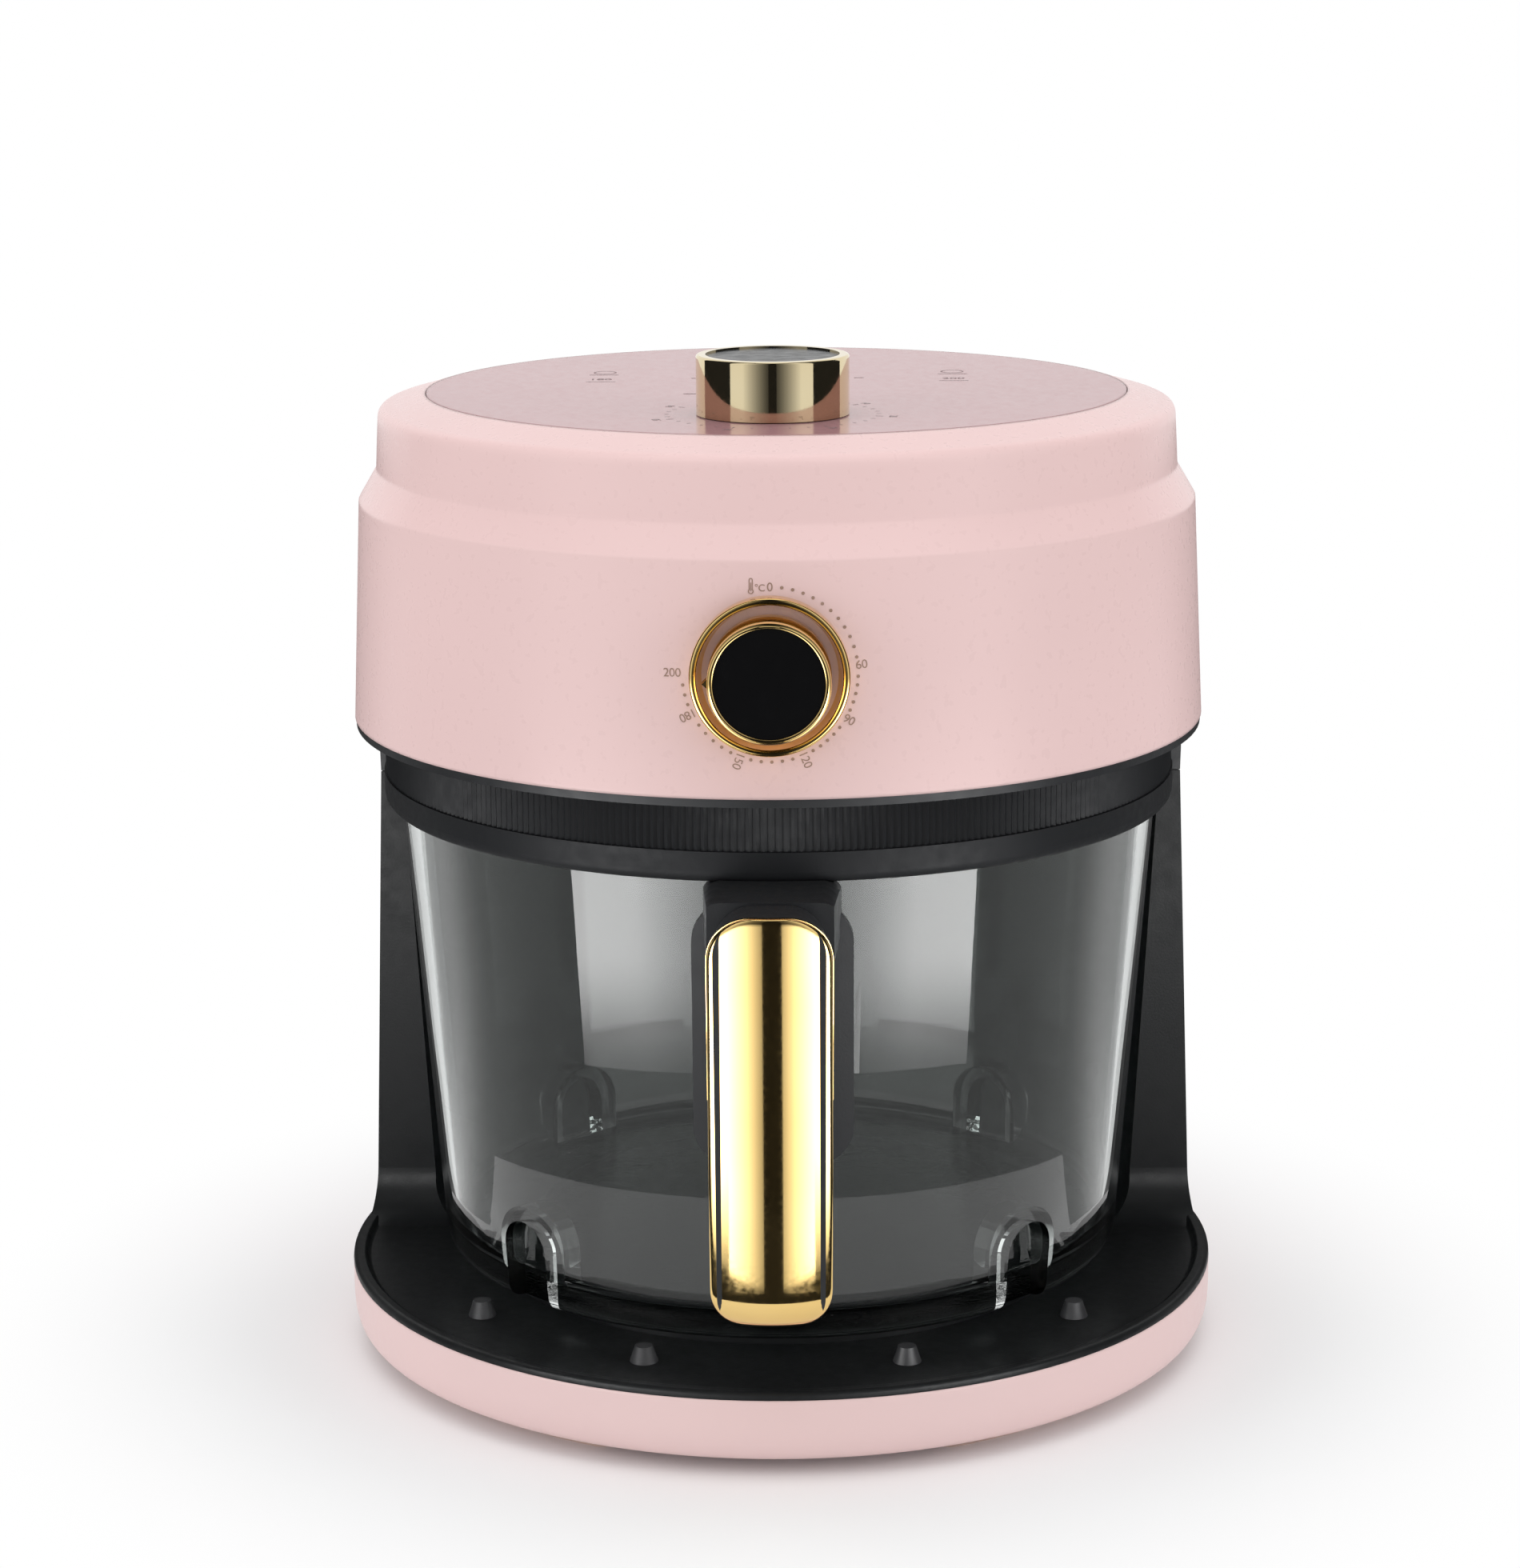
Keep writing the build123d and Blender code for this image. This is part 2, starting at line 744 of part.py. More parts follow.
with BuildPart() as outlet_grille:
    revolve(
        turned(
            [
                (lid_radius(outlet_low) - wall - sheet, outlet_low),
                (lid_radius(outlet_low), outlet_low),
                (lid_radius(outlet_high), outlet_high),
                (lid_radius(outlet_high) - wall - sheet, outlet_high),
            ]
        ),
        axis=Axis.Z,
    )
    with BuildSketch(Plane.XZ.offset(-panel_radius)):
        with Locations((0, (outlet_low + outlet_high) / 2)):
            Rectangle(outlet_width - part_gap, outlet_height - part_gap)
    extrude(amount=panel_radius - base_radius, mode=Mode.INTERSECT)
    add(outlet_flange_ring.part)
    with BuildSketch(Plane.XZ.offset(-panel_radius)):
        with Locations((0, (outlet_low + outlet_high) / 2)):
            with GridLocations(0, outlet_height / outlet_slots, 1, outlet_slots):
                SlotOverall(outlet_width - 3 * outlet_flange, outlet_slot_height)
    extrude(amount=panel_radius - base_radius, mode=Mode.SUBTRACT)
finish(outlet_grille, "outlet_grille")

# Top panel with the timer's shaft hole
with BuildPart() as top_panel:
    with BuildSketch(Plane.XY.offset(panel_under)):
        Circle(panel_radius)
        with Locations((0, -timer_reach)):
            Circle(1.5 * shaft_radius, mode=Mode.SUBTRACT)
    extrude(amount=panel_thickness)
finish(top_panel, "top_panel")

# Timer: body under the panel, shaft, knob and its cap
with BuildPart() as timer_body:
    with BuildSketch(Plane.XY.offset(panel_under)):
        with Locations((0, -timer_reach)):
            RectangleRounded(timer_body_width, timer_body_width, 3 * sheet)
            Circle(shaft_radius + running_gap, mode=Mode.SUBTRACT)
    extrude(amount=-timer_body_height)
finish(timer_body, "timer_body")

timer_knob_bottom = panel_top + part_gap
timer_knob_top = timer_knob_bottom + timer_knob_height
timer_cap_bottom = timer_knob_top - cap_recess
timer_shaft_top = timer_knob_bottom + 0.6 * timer_knob_height
with BuildPart() as timer_shaft:
    with BuildSketch(Plane.XY.offset(panel_under - 0.8 * timer_body_height)):
        with Locations((0, -timer_reach)):
            Circle(shaft_radius)
    extrude(amount=timer_shaft_top - panel_under + 0.8 * timer_body_height)
finish(timer_shaft, "timer_shaft")

with BuildPart() as timer_knob:
    with BuildSketch(Plane.XY.offset(timer_knob_bottom)):
        with Locations((0, -timer_reach)):
            Circle(timer_knob_radius)
    extrude(amount=timer_knob_height)
    fillet(timer_knob.edges().group_by(Axis.Z)[-1], radius=timer_edge_round)
    with BuildSketch(Plane.XY.offset(timer_cap_bottom)):
        with Locations((0, -timer_reach)):
            Circle(timer_cap_radius + snug_gap)
    extrude(amount=2 * cap_recess, mode=Mode.SUBTRACT)
    with BuildSketch(Plane.XY.offset(timer_knob_bottom)):
        with Locations((0, -timer_reach)):
            Circle(shaft_radius + snug_gap)
    extrude(amount=timer_shaft_top + snug_gap - timer_knob_bottom, mode=Mode.SUBTRACT)
finish(timer_knob, "timer_knob")

with BuildPart() as timer_cap:
    with BuildSketch(Plane.XY.offset(timer_cap_bottom)):
        with Locations((0, -timer_reach)):
            Circle(timer_cap_radius)
    extrude(amount=cap_recess - cap_drop)
finish(timer_cap, "timer_cap")

# Temperature dial: bezel on the wall, knob with its cap, shaft and thermostat behind the wall
with BuildPart() as lid_wall_solid:
    revolve(
        turned([(0, frame_top), (lid_foot_radius, frame_top), (lid_top_radius, wall_top), (0, wall_top)]),
        axis=Axis.Z,
    )

with BuildPart() as dial_bezel:
    with BuildSketch(Plane.XZ.offset(dial_wall + dial_bezel_reach)):
        with Locations((0, dial_height)):
            Circle(dial_bezel_radius)
    extrude(amount=-3 * dial_bezel_reach)
    fillet(dial_bezel.edges().group_by(Axis.Y)[0], radius=bezel_edge_round)
    with BuildSketch(Plane.XZ.offset(dial_wall + dial_bezel_reach)):
        with Locations((0, dial_height)):
            Circle(dial_bezel_inner)
    extrude(amount=-3 * dial_bezel_reach, mode=Mode.SUBTRACT)
    add(lid_wall_solid.part, mode=Mode.SUBTRACT)
finish(dial_bezel, "dial_bezel")

dial_back = dial_wall + dial_back_gap
dial_front = dial_back + dial_knob_depth
dial_cap_back = dial_front - cap_recess
dial_shaft_end = dial_back + 0.6 * dial_knob_depth
with BuildPart() as dial_knob:
    with BuildSketch(Plane.XZ.offset(dial_back)):
        with Locations((0, dial_height)):
            Circle(dial_knob_radius)
    extrude(amount=dial_knob_depth)
    fillet(dial_knob.edges().group_by(Axis.Y)[0], radius=dial_edge_round)
    with BuildSketch(Plane.XZ.offset(dial_cap_back)):
        with Locations((0, dial_height)):
            Circle(dial_cap_radius + snug_gap)
        with Locations((-(dial_cap_radius + dial_knob_radius) / 2, dial_height)):
            Rectangle(dial_knob_radius - dial_cap_radius + 1, dial_notch)
    extrude(amount=2 * cap_recess, mode=Mode.SUBTRACT)
    with BuildSketch(Plane.XZ.offset(dial_back)):
        with Locations((0, dial_height)):
            Circle(shaft_radius + snug_gap)
    extrude(amount=dial_shaft_end + snug_gap - dial_back, mode=Mode.SUBTRACT)
finish(dial_knob, "dial_knob")

with BuildPart() as dial_cap:
    with BuildSketch(Plane.XZ.offset(dial_cap_back)):
        with Locations((0, dial_height)):
            Circle(dial_cap_radius)
    extrude(amount=cap_recess - cap_drop)
finish(dial_cap, "dial_cap")

thermostat_back = thermostat_front - thermostat_depth
with BuildPart() as dial_shaft:
    with BuildSketch(Plane.XZ.offset(thermostat_back + wall)):
        with Locations((0, dial_height)):
            Circle(shaft_radius)
    extrude(amount=dial_shaft_end - thermostat_back - wall)
finish(dial_shaft, "dial_shaft")

with BuildPart() as thermostat:
    with BuildSketch(Plane.XZ.offset(thermostat_back)):
        with Locations((0, dial_height)):
            RectangleRounded(thermostat_width, thermostat_width, 3 * sheet)
    extrude(amount=thermostat_depth)
    with BuildSketch(Plane.XZ.offset(thermostat_back + wall - snug_gap)):
        with Locations((0, dial_height)):
            Circle(shaft_radius + running_gap)
    extrude(amount=thermostat_depth, mode=Mode.SUBTRACT)
finish(thermostat, "thermostat")

# Fan guard: the slotted plate in the lid's opening
guard_top = frame_top + guard_thickness
guard_ring_pitch = (lid_opening_radius - guard_rim - guard_first_ring) / (guard_ring_count - 1)
with BuildPart() as fan_guard:
    with BuildSketch(Plane.XY.offset(frame_top)):
        Circle(guard_radius)
        for ring in range(guard_ring_count):
            slot_radius = guard_first_ring + ring * guard_ring_pitch
            slot_count = 4 + 2 * ring
            slot_arc = 360 / slot_count * guard_slot_share
            for index in range(slot_count):
                with BuildLine():
                    path = CenterArc((0, 0), slot_radius, index * 360 / slot_count, slot_arc)
                SlotArc(arc=path, height=guard_slot_width, mode=Mode.SUBTRACT)
    extrude(amount=guard_thickness)
finish(fan_guard, "fan_guard")

# Reflector: the steel dish that holds the heater and the hot air fan
reflector_foot = guard_top + sheet
reflector_top = guard_top + reflector_height
reflector_under = reflector_top - sheet
heater_height = reflector_under - heater_drop
leg_positions = (heater_inner_radius, heater_inner_radius + heater_half_turns / 2 * heater_pitch)
with BuildPart() as reflector:
    revolve(
        turned(
            [
                (guard_radius, guard_top),
                (guard_radius, reflector_foot),
                (reflector_foot_radius, reflector_foot),
                (reflector_top_radius, reflector_top),
                (0, reflector_top),
                (0, reflector_under),
                (reflector_top_radius - sheet, reflector_under),
                (reflector_foot_radius - sheet, guard_top),
            ]
        ),
        axis=Axis.Z,
    )
    with BuildSketch(Plane.XY.offset(reflector_under - sheet)):
        Circle(1.5 * shaft_radius)
        for leg in leg_positions:
            with Locations((leg, 0)):
                Circle(heater_tube_radius + part_gap)
    extrude(amount=4 * sheet, mode=Mode.SUBTRACT)
finish(reflector, "reflector")

# Heater: a flat spiral of steel tube with two legs up through the reflector
with BuildPart() as heater_coil:
    with BuildLine(Plane.XY.offset(heater_height)) as coil_path:
        for index in range(heater_half_turns):
            CenterArc(
                (heater_pitch / 2 * (index % 2), 0),
                heater_inner_radius + heater_pitch / 2 * index,
                180 * (index % 2),
                180,
            )
    with BuildSketch(Plane(origin=(heater_inner_radius, 0, heater_height), z_dir=(0, 1, 0))):
        Circle(heater_tube_radius)
    sweep(path=coil_path.wires()[0])
    for leg in leg_positions:
        with Locations((leg, 0, heater_height)):
            Sphere(heater_tube_radius)
            Cylinder(
                heater_tube_radius,
                heater_drop + 4 * bracket_lift,
                align=(Align.CENTER, Align.CENTER, Align.MIN),
            )
finish(heater_coil, "heater_coil")

# Straps under the coil, from the reflector's wall inwards
clip_top = heater_height - heater_tube_radius - snug_gap
clip_wall = slope(reflector_foot, reflector_top, reflector_foot_radius, reflector_top_radius, clip_top)
clip_reach = clip_wall - sheet - part_gap
clip_inner = heater_inner_radius - 2 * heater_tube_radius
with BuildPart() as heater_clips:
    for angle in clip_angles:
        with BuildSketch(Plane.XY.offset(clip_top - clip_thickness)):
            with Locations(Location((0, 0, 0), (0, 0, angle))):
                with Locations(((clip_inner + clip_reach) / 2, 0)):
                    Rectangle(clip_reach - clip_inner, clip_width)
        extrude(amount=clip_thickness)
finish(heater_clips, "heater_clips")

# Hot air fan on the lower end of the drive shaft
fan_disc_top = reflector_under - fan_top_gap
fan_bottom = fan_disc_top - sheet - fan_blade_height
with BuildPart() as hot_fan:
    with BuildSketch(Plane.XY.offset(fan_disc_top - sheet)):
        Circle(fan_radius)
    extrude(amount=sheet)
    with BuildSketch(Plane.XY.offset(fan_bottom)):
        Circle(fan_hub_radius)
        with PolarLocations(0.72 * fan_radius, fan_blade_count):
            Rectangle(0.5 * fan_radius, sheet)
    extrude(amount=fan_blade_height)
    with BuildSketch(Plane.XY.offset(fan_bottom)):
        Circle(shaft_radius + snug_gap)
    extrude(amount=2 * fan_blade_height, mode=Mode.SUBTRACT)
finish(hot_fan, "hot_fan")

# Motor on its bracket above the reflector
bracket_under = reflector_top + bracket_lift
bracket_top = bracket_under + bracket_thickness
motor_top = bracket_top + motor_height
motor_boss = 3 * shaft_radius
with BuildPart() as motor_bracket:
    with BuildSketch(Plane.XY.offset(bracket_under)):
        Circle(bracket_radius)
        Circle(motor_boss + wall, mode=Mode.SUBTRACT)
    extrude(amount=bracket_thickness)
    with BuildSketch(Plane.XY.offset(reflector_top)):
        with PolarLocations(bracket_post_circle, 4, start_angle=45):
            Circle(bracket_post_radius)
    extrude(amount=bracket_lift)
finish(motor_bracket, "motor_bracket")

with BuildPart() as motor:
    with BuildSketch(Plane.XY.offset(bracket_top)):
        Circle(motor_radius)
    extrude(amount=motor_height)
    with BuildSketch(Plane.XY.offset(bracket_under)):
        Circle(motor_boss)
    extrude(amount=motor_height + 2 * bracket_thickness)
    with BuildSketch(Plane.XY.offset(bracket_under)):
        Circle(shaft_radius + running_gap)
    extrude(amount=2 * motor_height, mode=Mode.SUBTRACT)
finish(motor, "motor")

# Cooling fan on the upper end of the drive shaft
cooling_bottom = motor_top + bracket_thickness + cooling_fan_lift
cooling_top = cooling_bottom + cooling_fan_height
with BuildPart() as cooling_fan:
    with BuildSketch(Plane.XY.offset(cooling_bottom)):
        Circle(fan_hub_radius)
    extrude(amount=cooling_fan_height)
    with BuildSketch(Plane.XY.offset(cooling_bottom)):
        Circle(cooling_fan_radius)
    extrude(amount=sheet)
    with BuildSketch(Plane.XY.offset(cooling_bottom)):
        with PolarLocations(0.6 * cooling_fan_radius, cooling_blade_count):
            Rectangle(0.75 * cooling_fan_radius, sheet)
    extrude(amount=cooling_fan_height)
    with BuildSketch(Plane.XY.offset(cooling_bottom)):
        Circle(shaft_radius + snug_gap)
    extrude(amount=cooling_fan_height, mode=Mode.SUBTRACT)
finish(cooling_fan, "cooling_fan")

with BuildPart() as drive_shaft:
    with BuildSketch(Plane.XY.offset(fan_bottom)):
        Circle(shaft_radius)
    extrude(amount=cooling_top - fan_bottom)
finish(drive_shaft, "drive_shaft")

# Thermal fuse, clipped on top of the reflector
with BuildPart() as thermal_fuse:
    with BuildSketch(Plane.XZ.offset(-fuse_length / 2)):
        with Locations((bracket_radius + 3 * fuse_radius, reflector_top + fuse_radius + snug_gap)):
            Circle(fuse_radius)
    extrude(amount=fuse_length)
finish(thermal_fuse, "thermal_fuse")

# Glass jar. Its hollow is made first, less the room that the four moulded dents take
floor_inside = jar_bottom + glass_floor
dent_top = jar_bottom + dent_height
dent_floor = glass_foot_radius - dent_depth


def dent(half_width, top, floor_radius, low):
    """The arched outline of one dent, on a plane at its floor, for cutting outwards."""
    for angle in dent_angles:
        with BuildSketch(outward(floor_radius, angle, 0)) as outline:
            with Locations((0, (low + top - half_width) / 2)):
                Rectangle(2 * half_width, top - half_width - low)
            with Locations((0, top - half_width)):
                Circle(half_width)
        yield outline.sketch


with BuildPart() as jar_hollow:
    with BuildSketch(Plane.XZ):
        with BuildLine():
            hollow_floor_radius = glass_radius(floor_inside) - glass_wall - glass_corner
            hollow_floor = Line((0, floor_inside), (hollow_floor_radius, floor_inside))
            hollow_turn = Bezier(
                hollow_floor @ 1,
                (glass_radius(floor_inside) - glass_wall, floor_inside),
                (glass_radius(floor_inside + glass_corner) - glass_wall, floor_inside + glass_corner),
            )
            Polyline(
                hollow_turn @ 1,
                (glass_top_radius - glass_wall, glass_top),
                (0, glass_top),
                hollow_floor @ 0,
            )
        make_face()
    revolve(axis=Axis.Z)
    wall_half_width = dent_width / 2 + glass_wall
    for outline in dent(wall_half_width, dent_top + glass_wall, dent_floor - glass_wall, jar_bottom):
        extrude(outline, amount=2 * dent_depth + glass_wall, mode=Mode.SUBTRACT)

with BuildPart() as glass_jar:
    with BuildSketch(Plane.XZ):
        with BuildLine():
            jar_floor = Line((0, jar_bottom), (glass_foot_radius - glass_corner, jar_bottom))
            jar_turn = Bezier(
                jar_floor @ 1,
                (glass_foot_radius, jar_bottom),
                (glass_radius(jar_bottom + glass_corner), jar_bottom + glass_corner),
            )
            Polyline(jar_turn @ 1, (glass_top_radius, glass_top), (0, glass_top), jar_floor @ 0)
        make_face()
    revolve(axis=Axis.Z)
    for outline in dent(dent_width / 2, dent_top, dent_floor, jar_bottom - glass_wall):
        extrude(outline, amount=3 * dent_depth, mode=Mode.SUBTRACT)
    add(jar_hollow.part, mode=Mode.SUBTRACT)
finish(glass_jar, "glass_jar")

# Seal on the rim of the glass
with BuildPart() as jar_seal:
    with BuildSketch(Plane.XY.offset(glass_top)):
        Circle(glass_top_radius - part_gap)
        Circle(glass_top_radius - glass_wall + part_gap, mode=Mode.SUBTRACT)
    extrude(amount=seal_height)
finish(jar_seal, "jar_seal")

# Collar that clamps the seal on the glass and carries the handle
ribs_top = collar_top - collar_edge
band_radius = collar_radius - band_depth
with BuildPart() as jar_collar:
    with BuildSketch(Plane.XZ):
        with BuildLine():
            skirt_inner = glass_radius(collar_bottom) + snug_gap
            skirt = Line((skirt_inner, collar_bottom), (collar_radius - collar_lip_round, collar_bottom))
            lip_top = (collar_radius, collar_bottom + collar_lip_round)
            lip = Bezier(skirt @ 1, (collar_radius, collar_bottom), lip_top)
            Polyline(
                lip @ 1,
                (collar_radius, ribs_bottom),
                (band_radius, ribs_bottom),
                (band_radius, ribs_top),
                (collar_radius - collar_edge, collar_top),
                (glass_top_radius - glass_wall, collar_top),
                (glass_top_radius - glass_wall, seal_top),
                (glass_top_radius + snug_gap, seal_top),
                (glass_top_radius + snug_gap, glass_top),
                skirt @ 0,
            )
        make_face()
    revolve(axis=Axis.Z)
finish(jar_collar, "jar_collar")

# Ribbed band round the collar: upright ribs, each a peak and a valley
band_peak = collar_radius - 0.5 * collar_edge
band_points = []
for index in range(rib_count):
    for half, reach in ((0, band_peak), (0.5, band_peak - rib_height)):
        turn_angle = 2 * pi * (index + half) / rib_count
        band_points.append((reach * cos(turn_angle), reach * sin(turn_angle)))
with BuildPart() as collar_band:
    with BuildSketch(Plane.XY.offset(ribs_bottom + snug_gap)):
        with BuildLine():
            Polyline(*band_points, close=True)
        make_face()
        Circle(band_radius + snug_gap, mode=Mode.SUBTRACT)
    extrude(amount=ribs_top - ribs_bottom - 2 * snug_gap)
finish(collar_band, "collar_band")

# Handle bracket: a curved plate on the glass with a neck that reaches forward under the collar
plate_top = collar_bottom - plate_drop + 1.0
plate_bottom = plate_top - plate_height
neck_front = handle_reach - handle_depth
neck_under = handle_top - neck_depth_z
with BuildPart() as neck_block:
    with BuildSketch(Plane.XY.offset(neck_under)):
        with BuildLine():
            Polyline(
                (-neck_root_width / 2, -glass_foot_radius),
                (-handle_width / 2, -neck_front),
                (handle_width / 2, -neck_front),
                (neck_root_width / 2, -glass_foot_radius),
                close=True,
            )
        make_face()
    extrude(amount=neck_depth_z)
    with BuildSketch(Plane.XZ.offset(glass_foot_radius)):
        with Locations((0, handle_top - neck_depth_z)):
            RectangleRounded(neck_root_width, 2 * neck_depth_z, neck_corner)
    extrude(amount=handle_reach - glass_foot_radius, mode=Mode.INTERSECT)

with BuildPart() as jar_envelope:
    revolve(
        turned(
            [
                (0, jar_bottom),
                (glass_foot_radius + snug_gap, jar_bottom),
                (glass_radius(collar_bottom - snug_gap) + snug_gap, collar_bottom - snug_gap),
                (collar_radius + snug_gap, collar_bottom - snug_gap),
                (collar_radius + snug_gap, collar_top),
                (0, collar_top),
            ]
        ),
        axis=Axis.Z,
    )

with BuildPart() as handle_bracket:
    revolve(
        turned(
            [
                (glass_radius(plate_bottom), plate_bottom),
                (glass_radius(plate_bottom) + plate_thickness, plate_bottom),
                (glass_radius(plate_top) + plate_thickness, plate_top),
                (glass_radius(plate_top), plate_top),
            ]
        ),
        axis=Axis.Z,
    )
    with BuildSketch(Plane.XZ.offset(glass_foot_radius - 2 * plate_thickness)):
        with Locations((0, (plate_top + plate_bottom) / 2)):
            RectangleRounded(plate_width, plate_height, plate_corner)
    extrude(amount=base_radius - glass_foot_radius, mode=Mode.INTERSECT)
    add(neck_block.part)
    add(jar_envelope.part, mode=Mode.SUBTRACT)
    with BuildSketch(Plane.XZ.offset(neck_front - 4 * wall)):
        with Locations((0, handle_top - neck_depth_z / 2)):
            with GridLocations(handle_screw_spacing, 0, 2, 1):
                Circle(screw_radius + snug_gap)
    extrude(amount=8 * wall, mode=Mode.SUBTRACT)
finish(handle_bracket, "handle_bracket")


def handle_side(inset):
    """Side view of the handle: flat front, lower end curving back, all drawn in by an inset."""
    front = -handle_reach + inset
    turn_radius = handle_turn - inset
    with BuildSketch(Plane.YZ) as outline:
        with BuildLine():
            face = Line((front, handle_top), (front, handle_bottom + handle_turn))
            lower = TangentArc(face @ 1, (front + turn_radius, handle_bottom + inset), tangent=(0, -1))
            Polyline(
                lower @ 1,
                (-neck_front, handle_bottom + inset),
                (-neck_front, handle_top),
                face @ 0,
            )
        make_face()
    return outline.sketch


def handle_front_view(inset):
    """Front view of the handle: a rounded strip, a little narrower at its foot."""
    with BuildSketch(Plane.XZ) as outline:
        with BuildLine():
            Polyline(
                (-handle_width / 2 + inset, handle_top),
                (handle_width / 2 - inset, handle_top),
                (handle_foot_width / 2 - inset, handle_bottom),
                (inset - handle_foot_width / 2, handle_bottom),
                close=True,
            )
        make_face()
        fillet(outline.vertices(), radius=handle_corner - inset)
    return outline.sketch


# Handle grip: the dark core behind the cover
with BuildPart() as handle_grip:
    extrude(handle_side(cover_thickness), amount=handle_width, both=True)
    extrude(handle_front_view(grip_inset), amount=2 * handle_reach, mode=Mode.INTERSECT)
    fillet(handle_grip.edges().group_by(Axis.Y)[-1], radius=grip_round)
    with BuildSketch(Plane.XZ.offset(neck_front - wall)):
        with Locations((0, handle_top - neck_depth_z / 2)):
            with GridLocations(handle_screw_spacing, 0, 2, 1):
                Circle(screw_radius + screw_play)
    extrude(amount=2 * handle_depth, mode=Mode.SUBTRACT)
    with BuildSketch(Plane.XZ.offset(handle_reach - cover_thickness - 1.5 * screw_head_height)):
        with Locations((0, handle_top - neck_depth_z / 2)):
            with GridLocations(handle_screw_spacing, 0, 2, 1):
                Circle(screw_head_radius + screw_play)
    extrude(amount=2 * screw_head_height, mode=Mode.SUBTRACT)
finish(handle_grip, "handle_grip")

# Screws through the grip into the neck, hidden by the cover
handle_screw_seat = handle_reach - cover_thickness - 1.5 * screw_head_height
with BuildPart() as handle_screws:
    with BuildSketch(Plane.XZ.offset(handle_screw_seat)):
        with Locations((0, handle_top - neck_depth_z / 2)):
            with GridLocations(handle_screw_spacing, 0, 2, 1):
                Circle(screw_head_radius)
    extrude(amount=screw_head_height)
    with BuildSketch(Plane.XZ.offset(handle_screw_seat)):
        with Locations((0, handle_top - neck_depth_z / 2)):
            with GridLocations(handle_screw_spacing, 0, 2, 1):
                Circle(screw_radius)
    extrude(amount=neck_front - handle_screw_seat - 3 * wall)
finish(handle_screws, "handle_screws")

# Handle cover: the bright front strip that wraps under the grip
with BuildPart() as handle_cover:
    extrude(handle_side(0), amount=handle_width, both=True)
    extrude(handle_front_view(0), amount=2 * handle_reach, mode=Mode.INTERSECT)
    extrude(handle_side(cover_thickness), amount=handle_width, both=True, mode=Mode.SUBTRACT)
finish(handle_cover, "handle_cover")
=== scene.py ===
import math

import bpy
from mathutils import Matrix, Vector


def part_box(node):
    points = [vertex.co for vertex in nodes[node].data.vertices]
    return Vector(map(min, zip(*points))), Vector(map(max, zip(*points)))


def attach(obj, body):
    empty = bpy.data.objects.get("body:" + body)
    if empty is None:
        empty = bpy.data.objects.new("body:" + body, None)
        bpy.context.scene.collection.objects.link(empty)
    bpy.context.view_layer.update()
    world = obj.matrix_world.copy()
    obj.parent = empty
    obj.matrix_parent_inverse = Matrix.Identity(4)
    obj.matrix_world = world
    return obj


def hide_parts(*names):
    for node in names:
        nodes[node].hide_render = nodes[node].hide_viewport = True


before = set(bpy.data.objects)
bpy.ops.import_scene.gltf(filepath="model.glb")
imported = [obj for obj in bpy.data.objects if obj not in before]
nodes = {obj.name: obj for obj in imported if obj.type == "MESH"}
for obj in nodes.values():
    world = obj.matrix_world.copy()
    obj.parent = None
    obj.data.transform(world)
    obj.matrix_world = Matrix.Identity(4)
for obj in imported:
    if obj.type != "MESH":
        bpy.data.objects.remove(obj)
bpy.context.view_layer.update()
MM = 0.001


def box_mm(name):
    """Lowest and highest corner of a CAD node, in millimetres."""
    low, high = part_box(name)
    return [c / MM for c in low], [c / MM for c in high]


# ---------------------------------------------------------------- materials
def srgb(r, g, b):
    """A colour read off a screen, as the linear one that Blender wants."""
    out = []
    for c in (r, g, b):
        c = c / 255.0
        out.append(c / 12.92 if c <= 0.04045 else ((c + 0.055) / 1.055) ** 2.4)
    return out


def scaled(colour, k):
    return [min(1.0, c * k) for c in colour]


class Nodes:
    """Helpers that add shader nodes to a tree and join them."""

    def __init__(self, tree):
        self.nt = tree

    def add(self, kind, **settings):
        node = self.nt.nodes.new(kind)
        for key, value in settings.items():
            setattr(node, key, value)
        return node

    def link(self, a, b):
        self.nt.links.new(a, b)

    def number(self, operation, *values, clamp=False):
        """Arithmetic on outputs of nodes and on plain numbers."""
        node = self.add("ShaderNodeMath", operation=operation, use_clamp=clamp)
        for value, socket in zip(values, node.inputs):
            if isinstance(value, float):
                socket.default_value = value
            else:
                self.link(value, socket)
        return node.outputs[0]

    def span(self, value, low, high, from_low=0.3, from_high=0.7, smooth=False):
        """One range of values carried over to another, in a straight line or smoothly."""
        node = self.add("ShaderNodeMapRange")
        if smooth:
            node.interpolation_type = "SMOOTHSTEP"
        ends = {"From Min": from_low, "From Max": from_high, "To Min": low, "To Max": high}
        for key, end in ends.items():
            node.inputs[key].default_value = end
        self.link(value, node.inputs["Value"])
        return node.outputs["Result"]

    def blend_colour(self, share, first, second):
        mix = self.add("ShaderNodeMix", data_type="RGBA")
        mix.inputs["A"].default_value = (*first, 1)
        mix.inputs["B"].default_value = (*second, 1)
        self.link(share, mix.inputs["Factor"])
        return mix.outputs["Result"]

    def seen(self):
        """1 for what the camera or a shiny surface looks at, 0 for light that falls on things."""
        path = self.add("ShaderNodeLightPath")
        return self.number("ADD", path.outputs["Is Camera Ray"], path.outputs["Is Glossy Ray"], clamp=True)


